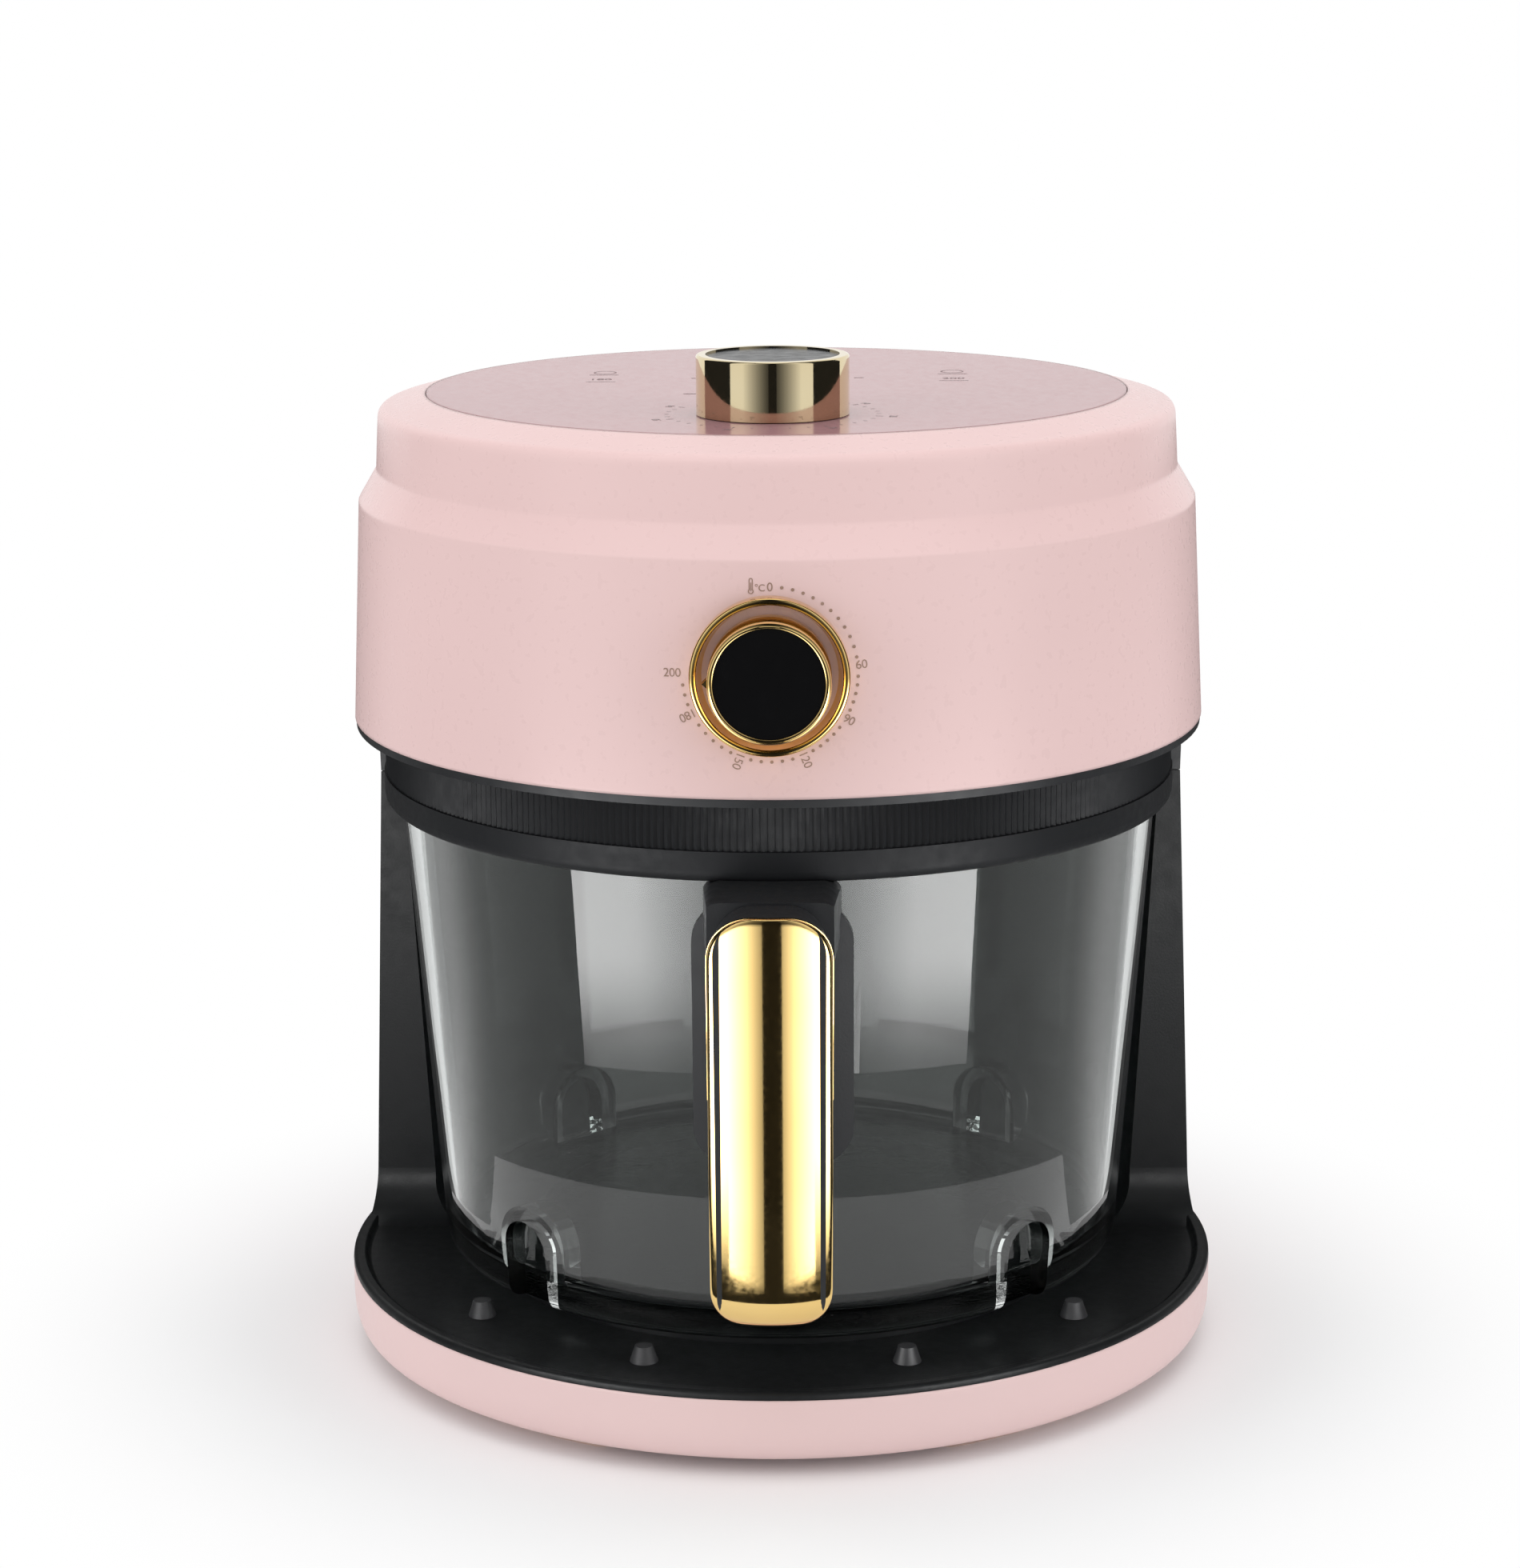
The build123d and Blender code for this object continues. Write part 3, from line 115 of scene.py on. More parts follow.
class Mat(Nodes):
    """A material with one Principled shader and helpers for what feeds it."""

    def __init__(self, name, colour, rough=0.4, metallic=0.0, **sockets):
        self.mat = bpy.data.materials.new(name)
        self.mat.use_nodes = True
        super().__init__(self.mat.node_tree)
        self.bsdf = self.nt.nodes["Principled BSDF"]
        self.out = self.nt.nodes["Material Output"]
        self.coord = self.add("ShaderNodeTexCoord").outputs["Object"]
        self.colour = colour
        self.bsdf.inputs["Base Color"].default_value = (*colour, 1)
        self.bsdf.inputs["Roughness"].default_value = rough
        self.bsdf.inputs["Metallic"].default_value = metallic
        for key, value in sockets.items():
            self.bsdf.inputs[key.replace("_", " ")].default_value = value

    def place(self):
        """The x, y and z of a point in the part's own frame, in metres."""
        node = self.add("ShaderNodeSeparateXYZ")
        self.link(self.coord, node.inputs["Vector"])
        return node.outputs["X"], node.outputs["Y"], node.outputs["Z"]

    def noise(self, scale, detail=3.0, rough=0.5, stretch=None):
        """A noise from 0 to 1, with scale in turns per metre."""
        node = self.add("ShaderNodeTexNoise")
        node.inputs["Scale"].default_value = scale
        node.inputs["Detail"].default_value = detail
        node.inputs["Roughness"].default_value = rough
        where = self.coord
        if stretch:
            mapping = self.add("ShaderNodeMapping")
            mapping.inputs["Scale"].default_value = stretch
            self.link(where, mapping.inputs["Vector"])
            where = mapping.outputs["Vector"]
        self.link(where, node.inputs["Vector"])
        return node.outputs["Fac"]

    def vary_colour(self, value, other):
        """The base colour drifts towards another one with a noise."""
        drifted = self.blend_colour(self.span(value, 0.0, 1.0), self.colour, other)
        self.link(drifted, self.bsdf.inputs["Base Color"])

    def vary_rough(self, value, low, high):
        self.link(self.span(value, low, high), self.bsdf.inputs["Roughness"])

    def bump(self, value, distance, strength=1.0, into=None):
        node = self.add("ShaderNodeBump")
        node.inputs["Strength"].default_value = strength
        node.inputs["Distance"].default_value = distance
        self.link(value, node.inputs["Height"])
        if into is not None:
            self.link(into, node.inputs["Normal"])
        self.link(node.outputs["Normal"], self.bsdf.inputs["Normal"])
        return node.outputs["Normal"]

    def soft_edges(self, radius):
        """Shading that rounds every edge off a little, in metres."""
        node = self.add("ShaderNodeBevel", samples=6)
        node.inputs["Radius"].default_value = radius
        self.link(node.outputs["Normal"], self.bsdf.inputs["Normal"])

    def mix_shader(self, share, other):
        """The Principled shader gives way to another one by a share."""
        mix = self.add("ShaderNodeMixShader")
        self.link(share, mix.inputs["Fac"])
        self.link(self.bsdf.outputs["BSDF"], mix.inputs[1])
        self.link(other, mix.inputs[2])
        self.link(mix.outputs["Shader"], self.out.inputs["Surface"])


def pink_plastic(name, colour, rough, shine=0.25):
    m = Mat(name, colour, rough, Specular_IOR_Level=shine)
    m.vary_colour(m.noise(9.0, 2.0), scaled(colour, 0.965))
    m.vary_rough(m.noise(420.0, 2.0), rough - 0.04, rough + 0.04)
    m.soft_edges(1.6 * MM)
    return m.mat


def dark_plastic(name, colour, rough, grain_scale=1400.0, grain_depth=0.00006, shine=0.3):
    m = Mat(name, colour, rough, Specular_IOR_Level=shine)
    m.vary_colour(m.noise(14.0, 3.0), scaled(colour, 0.8))
    m.vary_rough(m.noise(260.0, 3.0), rough - 0.06, rough + 0.05)
    m.bump(m.noise(grain_scale, 2.0), grain_depth, 0.5)
    return m.mat


def gold_metal(name, colour, rough):
    m = Mat(name, colour, rough, 1.0)
    m.vary_colour(m.noise(30.0, 2.0), [colour[0] * 0.97, colour[1] * 0.93, colour[2] * 0.86])
    m.vary_rough(m.noise(700.0, 2.0), max(0.0, rough - 0.02), rough + 0.03)
    m.bump(m.noise(60.0, 1.0), 0.00004, 0.15)
    return m.mat


def steel(name, colour, rough, stretch=(1.0, 1.0, 1.0), scale=600.0):
    m = Mat(name, colour, rough, 1.0)
    brushed = m.noise(scale, 3.0, 0.6, stretch)
    m.vary_colour(brushed, scaled(colour, 0.8))
    m.vary_rough(brushed, rough - 0.08, rough + 0.1)
    m.bump(brushed, 0.00003, 0.4)
    return m.mat


def rubber(name, colour, rough=0.7):
    m = Mat(name, colour, rough)
    wide = m.noise(60.0, 4.0)
    m.vary_colour(wide, scaled(colour, 0.75))
    m.vary_rough(wide, rough - 0.08, rough + 0.08)
    m.bump(m.noise(1600.0, 2.0), 0.00008, 0.6)
    return m.mat


def print_ink(name, colour, other):
    m = Mat(name, colour, 0.5, Specular_IOR_Level=0.2)
    m.vary_colour(m.noise(500.0, 2.0), other)
    return m.mat


GLASS_FLOOR = 8.0
STIPPLE_BAND = (-0.6, 0.8)


def clear_glass(name):
    """Clear glass, a little wavy all over, with a stipple on the upper side of the jar's floor."""
    m = Mat(name, [0.955, 0.985, 0.975], 0.0, Transmission_Weight=1.0, IOR=1.5)
    wavy = m.bump(m.noise(16.0, 1.0), 0.0004, 0.25)
    level = m.place()[2]
    floor_top = box_mm("glass_jar")[0][2] + GLASS_FLOOR
    above = m.number("GREATER_THAN", level, (floor_top + STIPPLE_BAND[0]) * MM)
    below = m.number("LESS_THAN", level, (floor_top + STIPPLE_BAND[1]) * MM)
    stipple = m.number("MULTIPLY", m.noise(520.0, 2.0, 0.6), m.number("MULTIPLY", above, below))
    m.bump(stipple, 0.00035, 0.5, into=wavy)
    # The lamps' light passes through, so that they reach what is inside
    clear = m.add("ShaderNodeBsdfTransparent")
    clear.inputs["Color"].default_value = (0.9, 0.93, 0.92, 1)
    path = m.add("ShaderNodeLightPath")
    m.mix_shader(path.outputs["Is Shadow Ray"], clear.outputs["BSDF"])
    return m.mat


pink = pink_plastic("pink_plastic", srgb(229, 198, 196), 0.30)
pink_base = pink_plastic("pink_base", srgb(227, 199, 197), 0.34)
pink_panel = pink_plastic("pink_panel", srgb(180, 136, 138), 0.18, 0.15)
black = dark_plastic("black_plastic", srgb(40, 41, 43), 0.42)
black_deck = dark_plastic("black_deck", srgb(27, 28, 29), 0.36, shine=0.16)
black_soft = dark_plastic("black_soft", srgb(31, 32, 34), 0.5, shine=0.16)
black_gloss = dark_plastic("black_gloss", srgb(18, 18, 19), 0.08, 300.0, 0.00001)
grey_gloss = dark_plastic("grey_gloss", srgb(38, 40, 42), 0.2, 300.0, 0.00001, shine=0.03)
gold = gold_metal("gold_metal", srgb(238, 206, 138), 0.07)
gold_pale = gold_metal("gold_pale", srgb(228, 214, 178), 0.05)
steel_plain = steel("steel_plain", srgb(176, 176, 178), 0.32)
steel_dark = steel("steel_dark", srgb(120, 118, 116), 0.42)
steel_sheet = steel("steel_sheet", srgb(188, 189, 190), 0.26, (1.0, 12.0, 1.0), 160.0)
light_metal = steel("light_metal", srgb(200, 201, 203), 0.36)
rubber_dark = rubber("rubber_dark", srgb(40, 40, 42), 0.55)
rubber_seal = rubber("rubber_seal", srgb(92, 92, 94))
rubber_foot = rubber("rubber_foot", srgb(206, 178, 166), 0.6)
glass = clear_glass("clear_glass")
ink = print_ink("print_ink", srgb(150, 122, 106), srgb(164, 136, 122))
ink_dark = print_ink("print_ink_dark", srgb(134, 112, 114), srgb(150, 126, 128))

FINISHES = (
    (pink, "lid_shell"),
    (pink_base, "base_shell column_cover"),
    (pink_panel, "top_panel"),
    (black, "lid_frame handle_bracket handle_grip outlet_grille"),
    (black_deck, "deck_liner"),
    (black_soft, "jar_collar collar_band timer_body thermostat cooling_fan"),
    (black_gloss, "dial_cap"),
    (grey_gloss, "timer_cap"),
    (gold, "dial_bezel dial_knob handle_cover"),
    (gold_pale, "timer_knob"),
    (glass, "glass_jar"),
    (rubber_dark, "cord_gland jar_pegs"),
    (rubber_seal, "jar_seal"),
    (rubber_foot, "foot_pads"),
    (steel_plain, "base_screws cover_screws lid_screws handle_screws hinge_pin"),
    (steel_plain, "timer_shaft dial_shaft drive_shaft heater_clips thermal_fuse"),
    (steel_sheet, "fan_guard reflector motor_bracket"),
    (steel_dark, "heater_coil motor"),
    (light_metal, "hot_fan"),
)


def smooth_shading(mesh, sharp_from):
    """Smooth shading, with edges sharper than an angle in degrees kept crisp."""
    for polygon in mesh.polygons:
        polygon.use_smooth = True
        polygon.material_index = 0
    mesh.set_sharp_from_angle(angle=math.radians(sharp_from))


for material, names in FINISHES:
    for name in names.split():
        mesh = nodes[name].data
        mesh.materials.clear()
        mesh.materials.append(material)
        smooth_shading(mesh, 32)


# ------------------------------------------------------------------- shapes
def new_object(name, verts, faces, material):
    """A mesh object from points in millimetres."""
    mesh = bpy.data.meshes.new(name)
    mesh.from_pydata([tuple(c * MM for c in v) for v in verts], [], faces)
    mesh.validate()
    mesh.update()
    mesh.materials.append(material)
    obj = bpy.data.objects.new(name, mesh)
    bpy.context.scene.collection.objects.link(obj)
    return obj


def mesh_piece(name, verts, faces, material, body, slot, sharp_from=32):
    piece = new_object(name, verts, faces, material)
    smooth_shading(piece.data, sharp_from)
    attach(piece, body)
    return piece


def grid_faces(rows, columns, first=0, flip=False):
    faces = []
    for i in range(rows - 1):
        for j in range(columns - 1):
            a = first + i * columns + j
            face = (a, a + 1, a + columns + 1, a + columns)
            faces.append(face[::-1] if flip else face)
    return faces


def turned_mesh(profile, height, steps=160):
    """A closed ring round an axis along Y at a height: profile points are (radius, y)."""
    verts, faces = [], []
    count = len(profile)
    for step in range(steps):
        angle = 2 * math.pi * step / steps
        for radius, y in profile:
            verts.append((radius * math.cos(angle), y, height + radius * math.sin(angle)))
        here, following = step * count, (step + 1) % steps * count
        for k in range(count):
            after = (k + 1) % count
            faces.append((here + k, here + after, following + after, following + k))
    return verts, faces


# Handle cover: a strip that bulges forward, with softly rounded edges and a foot that turns back
COVER_BULGE = 4.2
COVER_CORNER = 13.0
COVER_TURN = 12.0
COVER_WALL = 2.5
COVER_EDGE = 1.3
COVER_TAPER = 0.6
cover_low, cover_high = box_mm("handle_cover")
cover_half = cover_high[0]
cover_bend = (cover_half**2 + COVER_BULGE**2) / (2 * COVER_BULGE)
cover_axis = cover_bend + cover_low[1]
cover_middle = (cover_low[2] + cover_high[2]) / 2
cover_height = cover_high[2] - cover_low[2]


def cover_half_width(z):
    """Half of the strip's width at a height, with its four rounded corners."""
    half = cover_half - COVER_TAPER * (cover_high[2] - z) / cover_height
    past = max(0.0, abs(z - cover_middle) - (cover_height / 2 - COVER_CORNER))
    return half - COVER_CORNER + math.sqrt(max(0.0, COVER_CORNER**2 - past**2))


def cover_front(x, z, inset):
    """How far forward the strip's skin is, drawn in by an inset."""
    rise = z - cover_low[2]
    reach = cover_bend - inset
    turn = COVER_TURN - inset
    if rise < COVER_TURN:
        reach += math.sqrt(max(0.0, turn**2 - (COVER_TURN - rise) ** 2)) - turn
    return cover_axis - math.sqrt(reach**2 - x**2)


def cover_setback(x, z):
    """What the rounded edge takes off the front, from the distance to the outline."""
    past_x = abs(x) - cover_half_width(cover_middle) + COVER_CORNER
    past_z = abs(z - cover_middle) - cover_height / 2 + COVER_CORNER
    corner = math.hypot(max(past_x, 0.0), max(past_z, 0.0))
    outside = corner + min(max(past_x, past_z), 0.0) - COVER_CORNER
    left = COVER_EDGE - max(0.0, min(COVER_EDGE, -outside))
    return COVER_EDGE - math.sqrt(COVER_EDGE**2 - left**2)


def handle_strip():
    """The strip's front and back skins on one grid, joined round the edge."""
    edge_steps = [0.0, 0.03, 0.12, 0.27, 0.5, 0.8, COVER_EDGE]
    foot_steps = [1.9, 2.4, COVER_WALL, 3.2, 4.5, 6, 7.5, 9, 10.5, COVER_TURN, 13.5]
    corner_steps = [COVER_CORNER, 11.5, 10, 8.5, 7, 5.5, 4.2, 3, 2]
    rises = edge_steps + foot_steps
    rises += [14 + (cover_height - 28) * k / 24 for k in range(25)]
    rises += [cover_height - r for r in corner_steps + edge_steps[::-1]]
    front, back = [], []
    for rise in rises:
        z = cover_low[2] + rise
        half = cover_half_width(z)
        left = [-half + e for e in edge_steps[:-1]]
        left += [-half + COVER_EDGE + (half - COVER_EDGE) * k / 12 for k in range(13)]
        across = left + [-x for x in left[-2::-1]]
        for x in across:
            inner = cover_front(x, z, COVER_WALL) if rise >= COVER_WALL else cover_high[1]
            front.append((x, cover_front(x, z, 0.0) + cover_setback(x, z), z))
            back.append((x, inner, z))
    rows, columns, total = len(rises), len(across), len(front)
    faces = grid_faces(rows, columns) + grid_faces(rows, columns, total, flip=True)
    for a in range(0, total - columns, columns):
        b = a + columns
        faces.append((a, b, total + b, total + a))
        faces.append((b + columns - 1, b - 1, total + b - 1, total + b + columns - 1))
    for a in range(columns - 1):
        b = a + total - columns
        faces.append((a + 1, a, total + a, total + a + 1))
        faces.append((b, b + 1, total + b + 1, total + b))
    return mesh_piece("handle_strip", front + back, faces, gold, "jar", "gold_trim", 40)


cover = handle_strip()
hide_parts("handle_cover")

# Dial: a bezel with a rounded lip and a funnel, and a knob with a pointer tip at 9 o'clock
LIP_ROUND = 1.0
FUNNEL_DEPTH = 6.4
FUNNEL_INSET = 1.5
FUNNEL_CURVE = 1.6
KNOB_RADIUS = 17.0
POINTER_REACH = 1.25
POINTER_ROOT = 0.6
POINTER_HALF_WIDTH = 1.7
bezel_low, bezel_high = box_mm("dial_bezel")
dial_height = (bezel_low[2] + bezel_high[2]) / 2


def dial_funnel():
    front, back = bezel_low[1], bezel_high[1]
    radius = (bezel_high[2] - bezel_low[2]) / 2
    profile = [(radius - 0.3, back), (radius, front + 2.4)]
    for k in range(13):
        angle = math.pi * k / 12
        lip = LIP_ROUND * (1 - math.cos(angle))
        profile.append((radius - lip, front + LIP_ROUND * (1 - math.sin(angle))))
    for k in range(1, 11):
        share = k / 10
        inset = 2 * LIP_ROUND + FUNNEL_INSET * share**FUNNEL_CURVE
        profile.append((radius - inset, front + LIP_ROUND + FUNNEL_DEPTH * share))
    return mesh_piece("dial_funnel", *turned_mesh(profile, dial_height), gold, "lid", "gold_trim", 50)


def dial_ring():
    """A stepped ring round the cap, and a solid wedge on its rim."""
    knob_low, knob_high = box_mm("dial_knob")
    cap_low, cap_high = box_mm("dial_cap")
    front, back, seat = knob_low[1], knob_high[1], cap_high[1] + 0.4
    cap_radius = (cap_high[2] - cap_low[2]) / 2
    profile = [(cap_radius + 0.1, seat)]
    for outset, setback in ((0.1, 0.2), (0.3, 0.0), (0.7, 0.0), (0.95, 0.35), (1.25, 0.45), (1.5, 0.5)):
        profile.append((cap_radius + outset, front + setback))
    profile += [(KNOB_RADIUS, front + 1.0), (KNOB_RADIUS, back), (5.0, back), (5.0, seat)]
    verts, faces = turned_mesh(profile, dial_height)
    t = len(verts)
    for y in (front + 0.9, front + 5.0):
        verts.append((-KNOB_RADIUS - POINTER_REACH, y, dial_height))
        for side in (POINTER_HALF_WIDTH, -POINTER_HALF_WIDTH):
            verts.append((-KNOB_RADIUS + POINTER_ROOT, y, dial_height + side))
    faces += [(t, t + 1, t + 2), (t + 5, t + 4, t + 3), (t, t + 3, t + 4, t + 1)]
    faces += [(t + 1, t + 4, t + 5, t + 2), (t + 2, t + 5, t + 3, t)]
    return mesh_piece("dial_ring", verts, faces, gold, "dial", "gold_trim", 50)


bezel = dial_funnel()
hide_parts("dial_bezel")
knob = dial_ring()
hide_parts("dial_knob")


# ------------------------------------------------------------------- prints
class Print:
    """Thin flat marks, drawn in the plane of a sign (u to the right, v up) and laid on a surface."""

    def __init__(self):
        self.verts, self.faces = [], []

    def shape(self, points, faces, centre=(0, 0), turn=0.0):
        c, s = math.cos(math.radians(turn)), math.sin(math.radians(turn))
        first = len(self.verts)
        self.verts += [(centre[0] + u * c - v * s, centre[1] + u * s + v * c) for u, v in points]
        self.faces += [tuple(first + k for k in face) for face in faces]

    def ring(self, inner, outer, centre, start=0.0, end=360.0, steps=20):
        points, faces = [], []
        for k in range(steps + 1):
            angle = math.radians(start + (end - start) * k / steps)
            points += [(r * math.cos(angle), r * math.sin(angle)) for r in (inner, outer)]
            if k:
                faces.append((2 * k - 2, 2 * k - 1, 2 * k + 1, 2 * k))
        self.shape(points, faces, centre)

    def bar(self, length, width, centre, turn=0.0):
        a, b = length / 2, width / 2
        self.shape([(-a, -b), (a, -b), (a, b), (-a, b)], [(0, 1, 2, 3)], centre, turn)

    def words(self, text, height, centre, turn=0.0, start=None):
        """Plain numbers as tall as given, centred on a point or begun at a distance from it."""
        curve = bpy.data.curves.new("sign", "FONT")
        curve.body = text
        curve.size = height / 0.73
        curve.space_character = 0.95
        sign = bpy.data.objects.new("sign", curve)
        bpy.context.scene.collection.objects.link(sign)
        bpy.context.view_layer.update()
        mesh = sign.to_mesh()
        points = [(v.co.x, v.co.y) for v in mesh.vertices]
        faces = [tuple(p.vertices) for p in mesh.polygons]
        sign.to_mesh_clear()
        bpy.data.objects.remove(sign)
        bpy.data.curves.remove(curve)
        us, vs = zip(*points)
        middle_u = (min(us) + max(us)) / 2 if start is None else min(us) - start
        middle_v = (min(vs) + max(vs)) / 2
        self.shape([(u - middle_u, v - middle_v) for u, v in points], faces, centre, turn)

    def lay(self, name, place, material, body, slot):
        verts = [place(u, v) for u, v in self.verts]
        return mesh_piece(name, verts, self.faces, material, body, slot)


def clock(angle, radius):
    """A point at an angle clockwise from the top."""
    a = math.radians(angle)
    return (radius * math.sin(a), radius * math.cos(a))


# Temperature scale round the dial, on the head's leaning wall
WALL_LEAN = 3.0
WALL_HEIGHT = 66.0
shell_low, shell_high = box_mm("lid_shell")


def on_wall(u, v):
    z = dial_height + v
    radius = shell_high[0] - WALL_LEAN * (z - shell_low[2]) / WALL_HEIGHT + 0.06
    return (u, -math.sqrt(radius**2 - u**2), z)


DOT_RADIUS = 0.47
DOT_CIRCLE = 24.2
DOT_RUNS = (
    (8.0, 79.4, 11),
    (92.1, 114.9, 5),
    (128.0, 150.9, 5),
    (165.2, 192.8, 5),
    (206.7, 234.1, 5),
    (249.2, 262.4, 3),
)
DEGREE_MARKS = {"60": 84.5, "90": 120.6, "120": 157.5, "150": 200.0, "180": 242.7}


def dial_scale():
    """Dots in runs between the numbers, and a thermometer sign before the 0."""
    scale = Print()
    for first, last, count in DOT_RUNS:
        for k in range(count):
            angle = first + (last - first) * k / (count - 1)
            scale.ring(0.0, DOT_RADIUS, clock(angle, DOT_CIRCLE))
    for text, angle in DEGREE_MARKS.items():
        scale.words(text, 2.5, (0, 0), 90 - angle, start=DOT_CIRCLE - 0.5)
    scale.words("200", 2.5, (-26.9, 0.2), 1.0)
    scale.words("0", 2.5, (0.1, DOT_CIRCLE))
    scale.words("\u00b0C", 2.0, (-2.6, DOT_CIRCLE - 0.2))
    u, v = -5.1, 23.0
    scale.ring(0.5, 0.78, (u, v), 110, 430)
    for side in (-1, 1):
        scale.bar(2.5, 0.26, (u + side * 0.42, v + 1.9), 90)
    scale.ring(0.29, 0.55, (u, v + 3.1), 0, 180)
    scale.bar(2.4, 0.2, (u, v + 1.2), 90)
    scale.lay("dial_scale", on_wall, ink, "lid", "dark_plastic")


# Minute marks round the timer and small signs on the top panel
panel_top = box_mm("top_panel")[1][2]
timer_low, timer_high = box_mm("timer_knob")
timer_middle = (timer_low[1] + timer_high[1]) / 2


def on_panel(u, v):
    return (u, timer_middle + v, panel_top + 0.05)


TIMER_TURN = 300.0
TIMER_MARKS = 30
TICK_CIRCLE = 30.5
NUMBER_CIRCLE = 35.0
SIGN_REACH = 54


def timer_scale():
    """A tick for every second minute with numbers at each fifth tick, and a column of signs on each side."""
    minutes = Print()
    for k in range(TIMER_MARKS + 1):
        angle = TIMER_TURN * k / TIMER_MARKS
        if k % 5:
            minutes.bar(1.4, 0.35, clock(angle, TICK_CIRCLE), 90 - angle)
        else:
            minutes.bar(2.2, 0.4, clock(angle, TICK_CIRCLE + 0.5), 90 - angle)
            minutes.words(str(2 * k), 2.4, clock(angle, NUMBER_CIRCLE), -angle)
    for side, degrees in ((-1, "180"), (1, "200")):
        minutes.ring(3.2, 3.6, (side * SIGN_REACH, 99))
        minutes.bar(9.0, 0.6, (side * SIGN_REACH, 93))
        minutes.words(degrees, 3.6, (side * SIGN_REACH, 82))
        minutes.bar(9.0, 0.5, (side * SIGN_REACH, 76))
        minutes.bar(3.0, 0.8, (side * 25, 84))
    minutes.bar(5.0, 0.8, (-25, 46))
    minutes.lay("timer_scale", on_panel, ink_dark, "lid", "dark_plastic")


dial_scale()
timer_scale()


# ------------------------------------------------------------ camera, light
# The camera stands where the photograph puts it: place in millimetres, turns in degrees, the rest in pixels
PHOTO_WIDTH, PHOTO_HEIGHT = 1900, 1960
CAMERA_PLACE = (20.3, -1164.3, 442.1)
CAMERA_TURN = (1.0, 13.0, -0.323)
FOCAL_LENGTH = 4832.9
MIDDLE_COLUMN = 973.17
SENSOR = 36.0


def aim(place, azimuth, pitch, roll):
    """A camera's turn from its looking direction, in degrees."""
    a, p, r = (math.radians(v) for v in (azimuth, pitch, roll))
    forward = Vector((-math.sin(a) * math.cos(p), math.cos(a) * math.cos(p), -math.sin(p)))
    right = Vector((math.cos(a), math.sin(a), 0))
    up = right.cross(forward)
    turned = math.cos(r) * right + math.sin(r) * up
    above = turned.cross(forward)
    turn = Matrix((turned, above, -forward)).transposed().to_4x4()
    return Matrix.Translation(Vector(place) * MM) @ turn


camera_data = bpy.data.cameras.new("camera")
camera_data.sensor_width = SENSOR
camera_data.sensor_fit = "AUTO"
camera_data.lens = FOCAL_LENGTH * SENSOR / PHOTO_HEIGHT
camera_data.shift_x = (PHOTO_WIDTH / 2 - MIDDLE_COLUMN) / PHOTO_HEIGHT
camera_data.clip_start = 0.05
camera_data.clip_end = 60.0
camera = bpy.data.objects.new("camera", camera_data)
bpy.context.scene.collection.objects.link(camera)
camera.matrix_world = aim(CAMERA_PLACE, *CAMERA_TURN)
bpy.context.scene.camera = camera
bpy.context.scene.view_settings.view_transform = "Standard"

# World: white to the camera and to metal, and a softer light on everything
WHITE = [1.0, 1.0, 1.0]
world = bpy.data.worlds.new("studio")
bpy.context.scene.world = world
world.use_nodes = True
sky = Nodes(world.node_tree)
background = world.node_tree.nodes["Background"]
sky.link(sky.blend_colour(sky.seen(), [0.71, 0.71, 0.715], WHITE), background.inputs["Color"])
background.inputs["Strength"].default_value = 1.0


def stage_mesh(name, verts, faces, material):
    obj = new_object(name, verts, faces, material)
    return obj


FLOOR_REACH = 9000
LIT_FLOOR, WHITE_FLOOR = 120.0, 270.0


def floor_material():
    """Pale and lit near the cooker, and farther off plain white to the camera and to metal."""
    m = Mat("floor_pale", [0.9, 0.9, 0.9], 0.9, Specular_IOR_Level=0.0)
    m.vary_colour(m.noise(3.0, 2.0), [0.89, 0.89, 0.895])
    far = m.add("ShaderNodeEmission")
    m.link(m.blend_colour(m.seen(), [0.75, 0.75, 0.75], WHITE), far.inputs["Color"])
    distance = m.add("ShaderNodeVectorMath", operation="LENGTH")
    m.link(m.coord, distance.inputs[0])
    reach = m.span(distance.outputs["Value"], 0.0, 1.0, LIT_FLOOR * MM, WHITE_FLOOR * MM, smooth=True)
    m.mix_shader(reach, far.outputs["Emission"])
    return m.mat


corners = [(x * FLOOR_REACH, y * FLOOR_REACH, 0) for x, y in ((-1, -1), (1, -1), (1, 1), (-1, 1))]
stage_mesh("floor", corners, [(0, 1, 2, 3)], floor_material())


# Cards and walls round the cooker: only metal, glass and gloss see them
def bent_sheet(name, start, end, edges, material, steps=40):
    """A sheet bent round the cooker between two angles, with (radius, level) for its two edges."""
    verts, faces = [], []
    for index in range(steps + 1):
        angle = math.radians(start + (end - start) * index / steps)
        for radius, level in edges:
            verts.append((radius * math.sin(angle), -radius * math.cos(angle), level))
        if index:
            k = 2 * index
            faces.append((k - 2, k, k + 1, k - 1))
    sheet = stage_mesh(name, verts, faces, material)
    sheet.visible_camera = False
    sheet.visible_diffuse = False
    sheet.visible_transmission = False
    sheet.visible_shadow = False
    sheet.visible_volume_scatter = False


def wall(name, radius, start, end, top, material, steps=40):
    bent_sheet(name, start, end, ((radius, 0), (radius, top)), material, steps)


def apron(name, inner, outer, start, end, material):
    bent_sheet(name, start, end, ((inner, 0.5), (outer, 0.5)), material)


def front_profile(m, angle):
    """The front cards brighten from the middle to 36 degrees off it."""
    share = m.number("DIVIDE", angle, math.radians(36.0), clamp=True)
    return m.number("ADD", m.number("POWER", share, 1.6), 0.03)


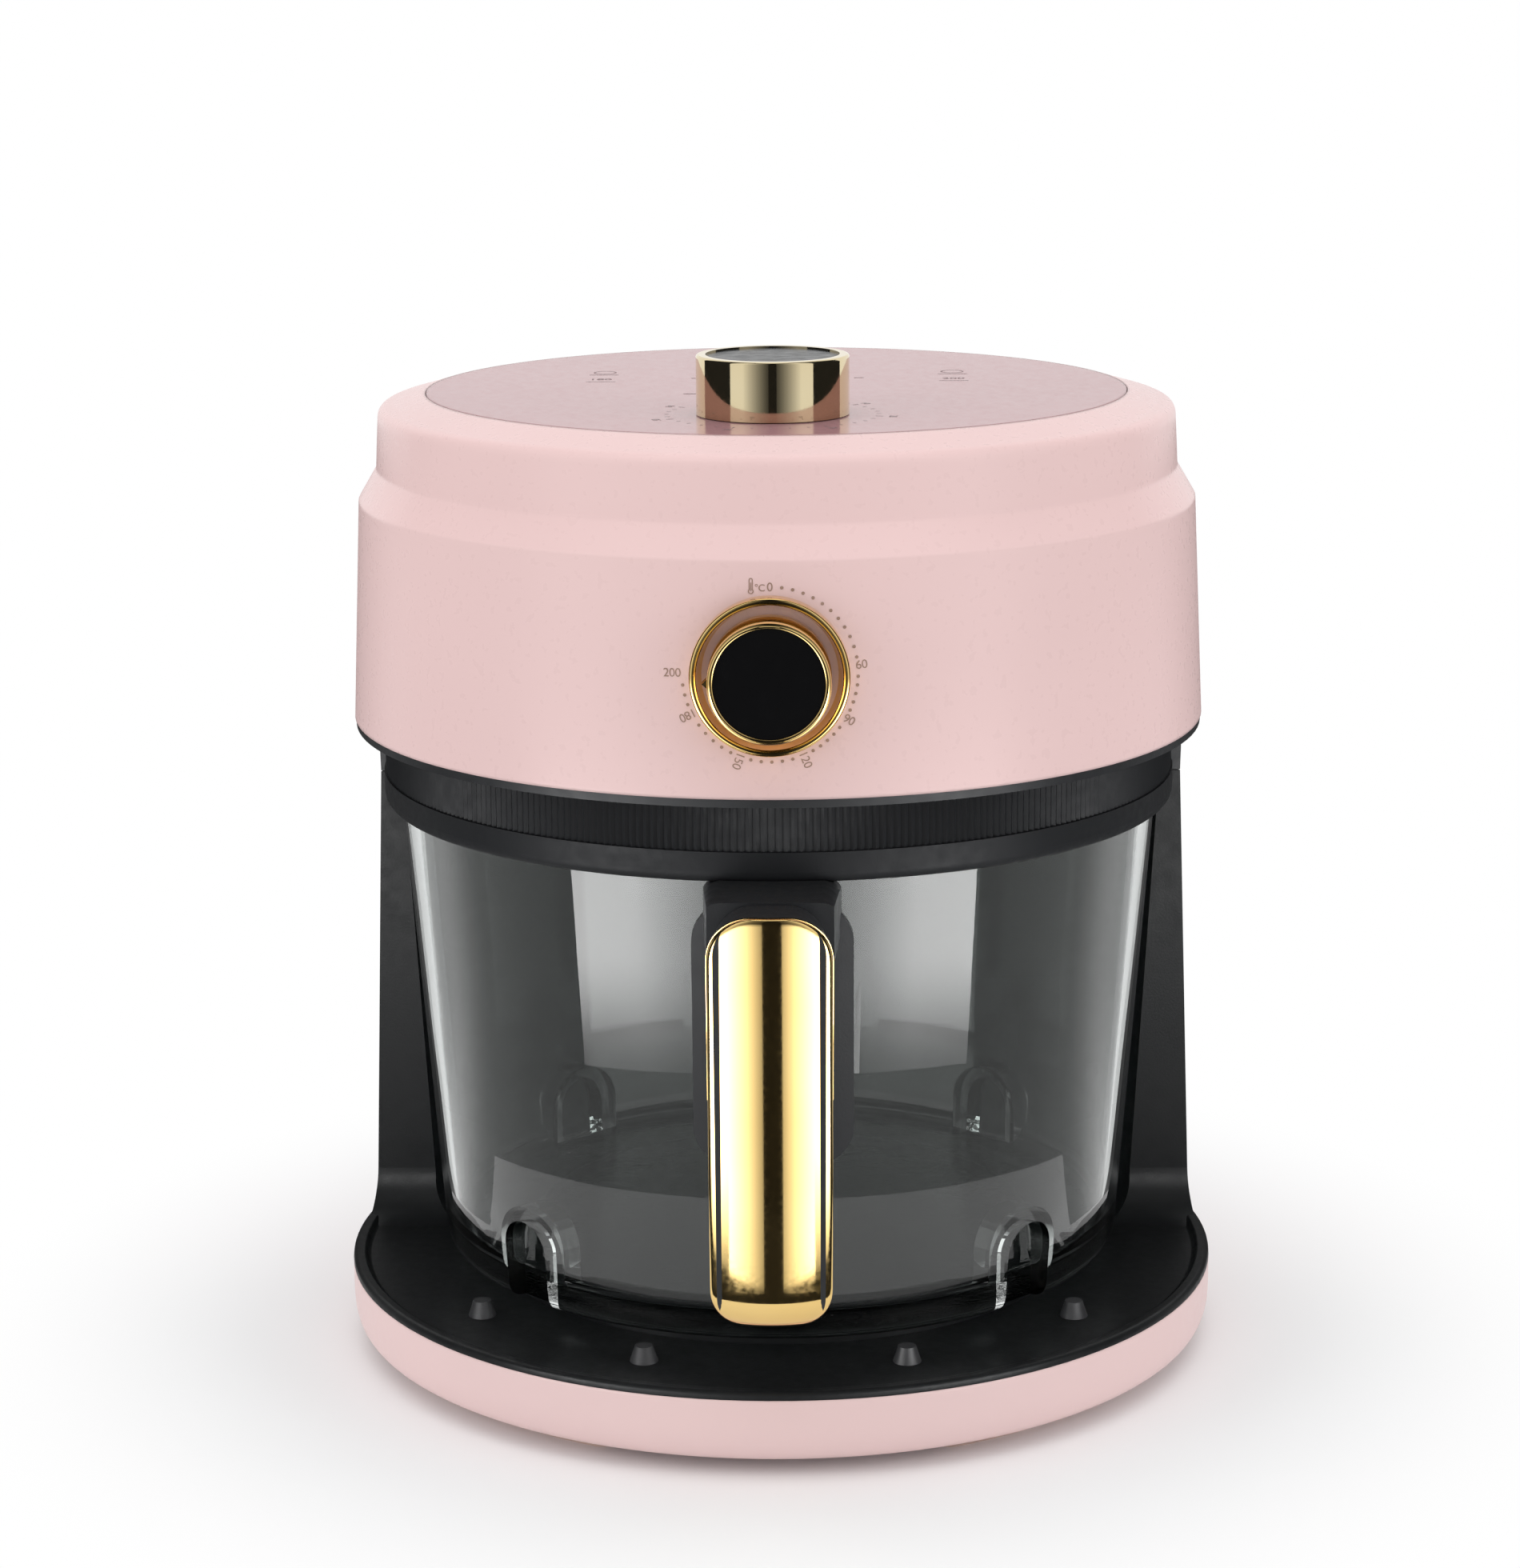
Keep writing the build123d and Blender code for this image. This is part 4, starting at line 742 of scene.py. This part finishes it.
def side_profile(m, angle):
    """The side cards are brightest 108 degrees off the middle."""
    start, peak, end = (math.radians(a) for a in (90.0, 108.0, 122.0))
    rising = m.span(angle, 0.08, 1.0, start, peak, smooth=True)
    falling = m.span(angle, 1.0, 0.18, peak, end, smooth=True)
    return m.number("MULTIPLY", rising, falling)


def card_material(name, strength, profile, rise, drop):
    """A glowing card with a profile over the angle, a rise from its foot and a drop to its top."""
    m = Mat(name, WHITE)
    x, y, z = m.place()
    angle = m.number("ABSOLUTE", m.number("ARCTAN2", x, m.number("MULTIPLY", y, -1.0)))
    foot = m.span(z, 0.13, 1.0, rise[0] * MM, rise[1] * MM, smooth=True)
    head = m.span(z, 1.0, 0.1, drop[0] * MM, drop[1] * MM, smooth=True)
    light = m.number("MULTIPLY", m.number("MULTIPLY", profile(m, angle), foot), head)
    glow = m.add("ShaderNodeEmission")
    m.link(m.number("MULTIPLY", light, strength), glow.inputs["Strength"])
    m.link(glow.outputs["Emission"], m.out.inputs["Surface"])
    return m.mat


dark = Mat("studio_dark", [0.02, 0.02, 0.02], 0.9, Specular_IOR_Level=0.0).mat
card = card_material("studio_card", 9.0, front_profile, (-60, -10), (110, 190))
card_outer = card_material("studio_card_outer", 9.0, front_profile, (-2, 48), (110, 190))
side_card = card_material("side_card", 0.5, side_profile, (-20, 0), (180, 260))

SIDE_RADIUS, WALL_RADIUS, CARD_RADIUS = 415, 420, 345
SIDE_START, SIDE_END = 88, 170
wall("side_left", SIDE_RADIUS, -SIDE_END, -SIDE_START, 240, side_card)
wall("side_right", SIDE_RADIUS, SIDE_START, SIDE_END, 240, side_card)
wall("studio_wall", WALL_RADIUS, -112, 112, 2200, dark, 60)
wall("card_left", CARD_RADIUS, -22, -4.0, 900, card)
wall("card_left_outer", CARD_RADIUS, -54, -22, 900, card_outer)
wall("card_right", CARD_RADIUS, 5.5, 22, 900, card)
wall("card_right_outer", CARD_RADIUS, 22, 53, 900, card_outer)
apron("apron_front", 250, WALL_RADIUS + 1, -SIDE_START, SIDE_START, dark)
apron("apron_left", 190, 900, -SIDE_END, -SIDE_START, side_card)
apron("apron_right", 190, 900, SIDE_START, SIDE_END, side_card)


def lamp(name, place, width, height, power):
    """A soft rectangular lamp that points at the middle of the cooker and shows in no reflection."""
    data = bpy.data.lights.new(name, "AREA")
    data.shape = "RECTANGLE"
    data.size = width * MM
    data.size_y = height * MM
    data.energy = power
    obj = bpy.data.objects.new(name, data)
    bpy.context.scene.collection.objects.link(obj)
    towards = (Vector((0, 0, 150)) - Vector(place)).normalized()
    turn = towards.to_track_quat("-Z", "Y").to_matrix().to_4x4()
    obj.matrix_world = Matrix.Translation(Vector(place) * MM) @ turn
    obj.visible_glossy = False
    obj.visible_transmission = False


lamp("softbox_left", (-1500, -880, 560), 900, 1300, 9.4)
lamp("softbox_right", (1500, -880, 560), 900, 1300, 9)
lamp("softbox_top", (0, -150, 1700), 1800, 1800, 8.8)
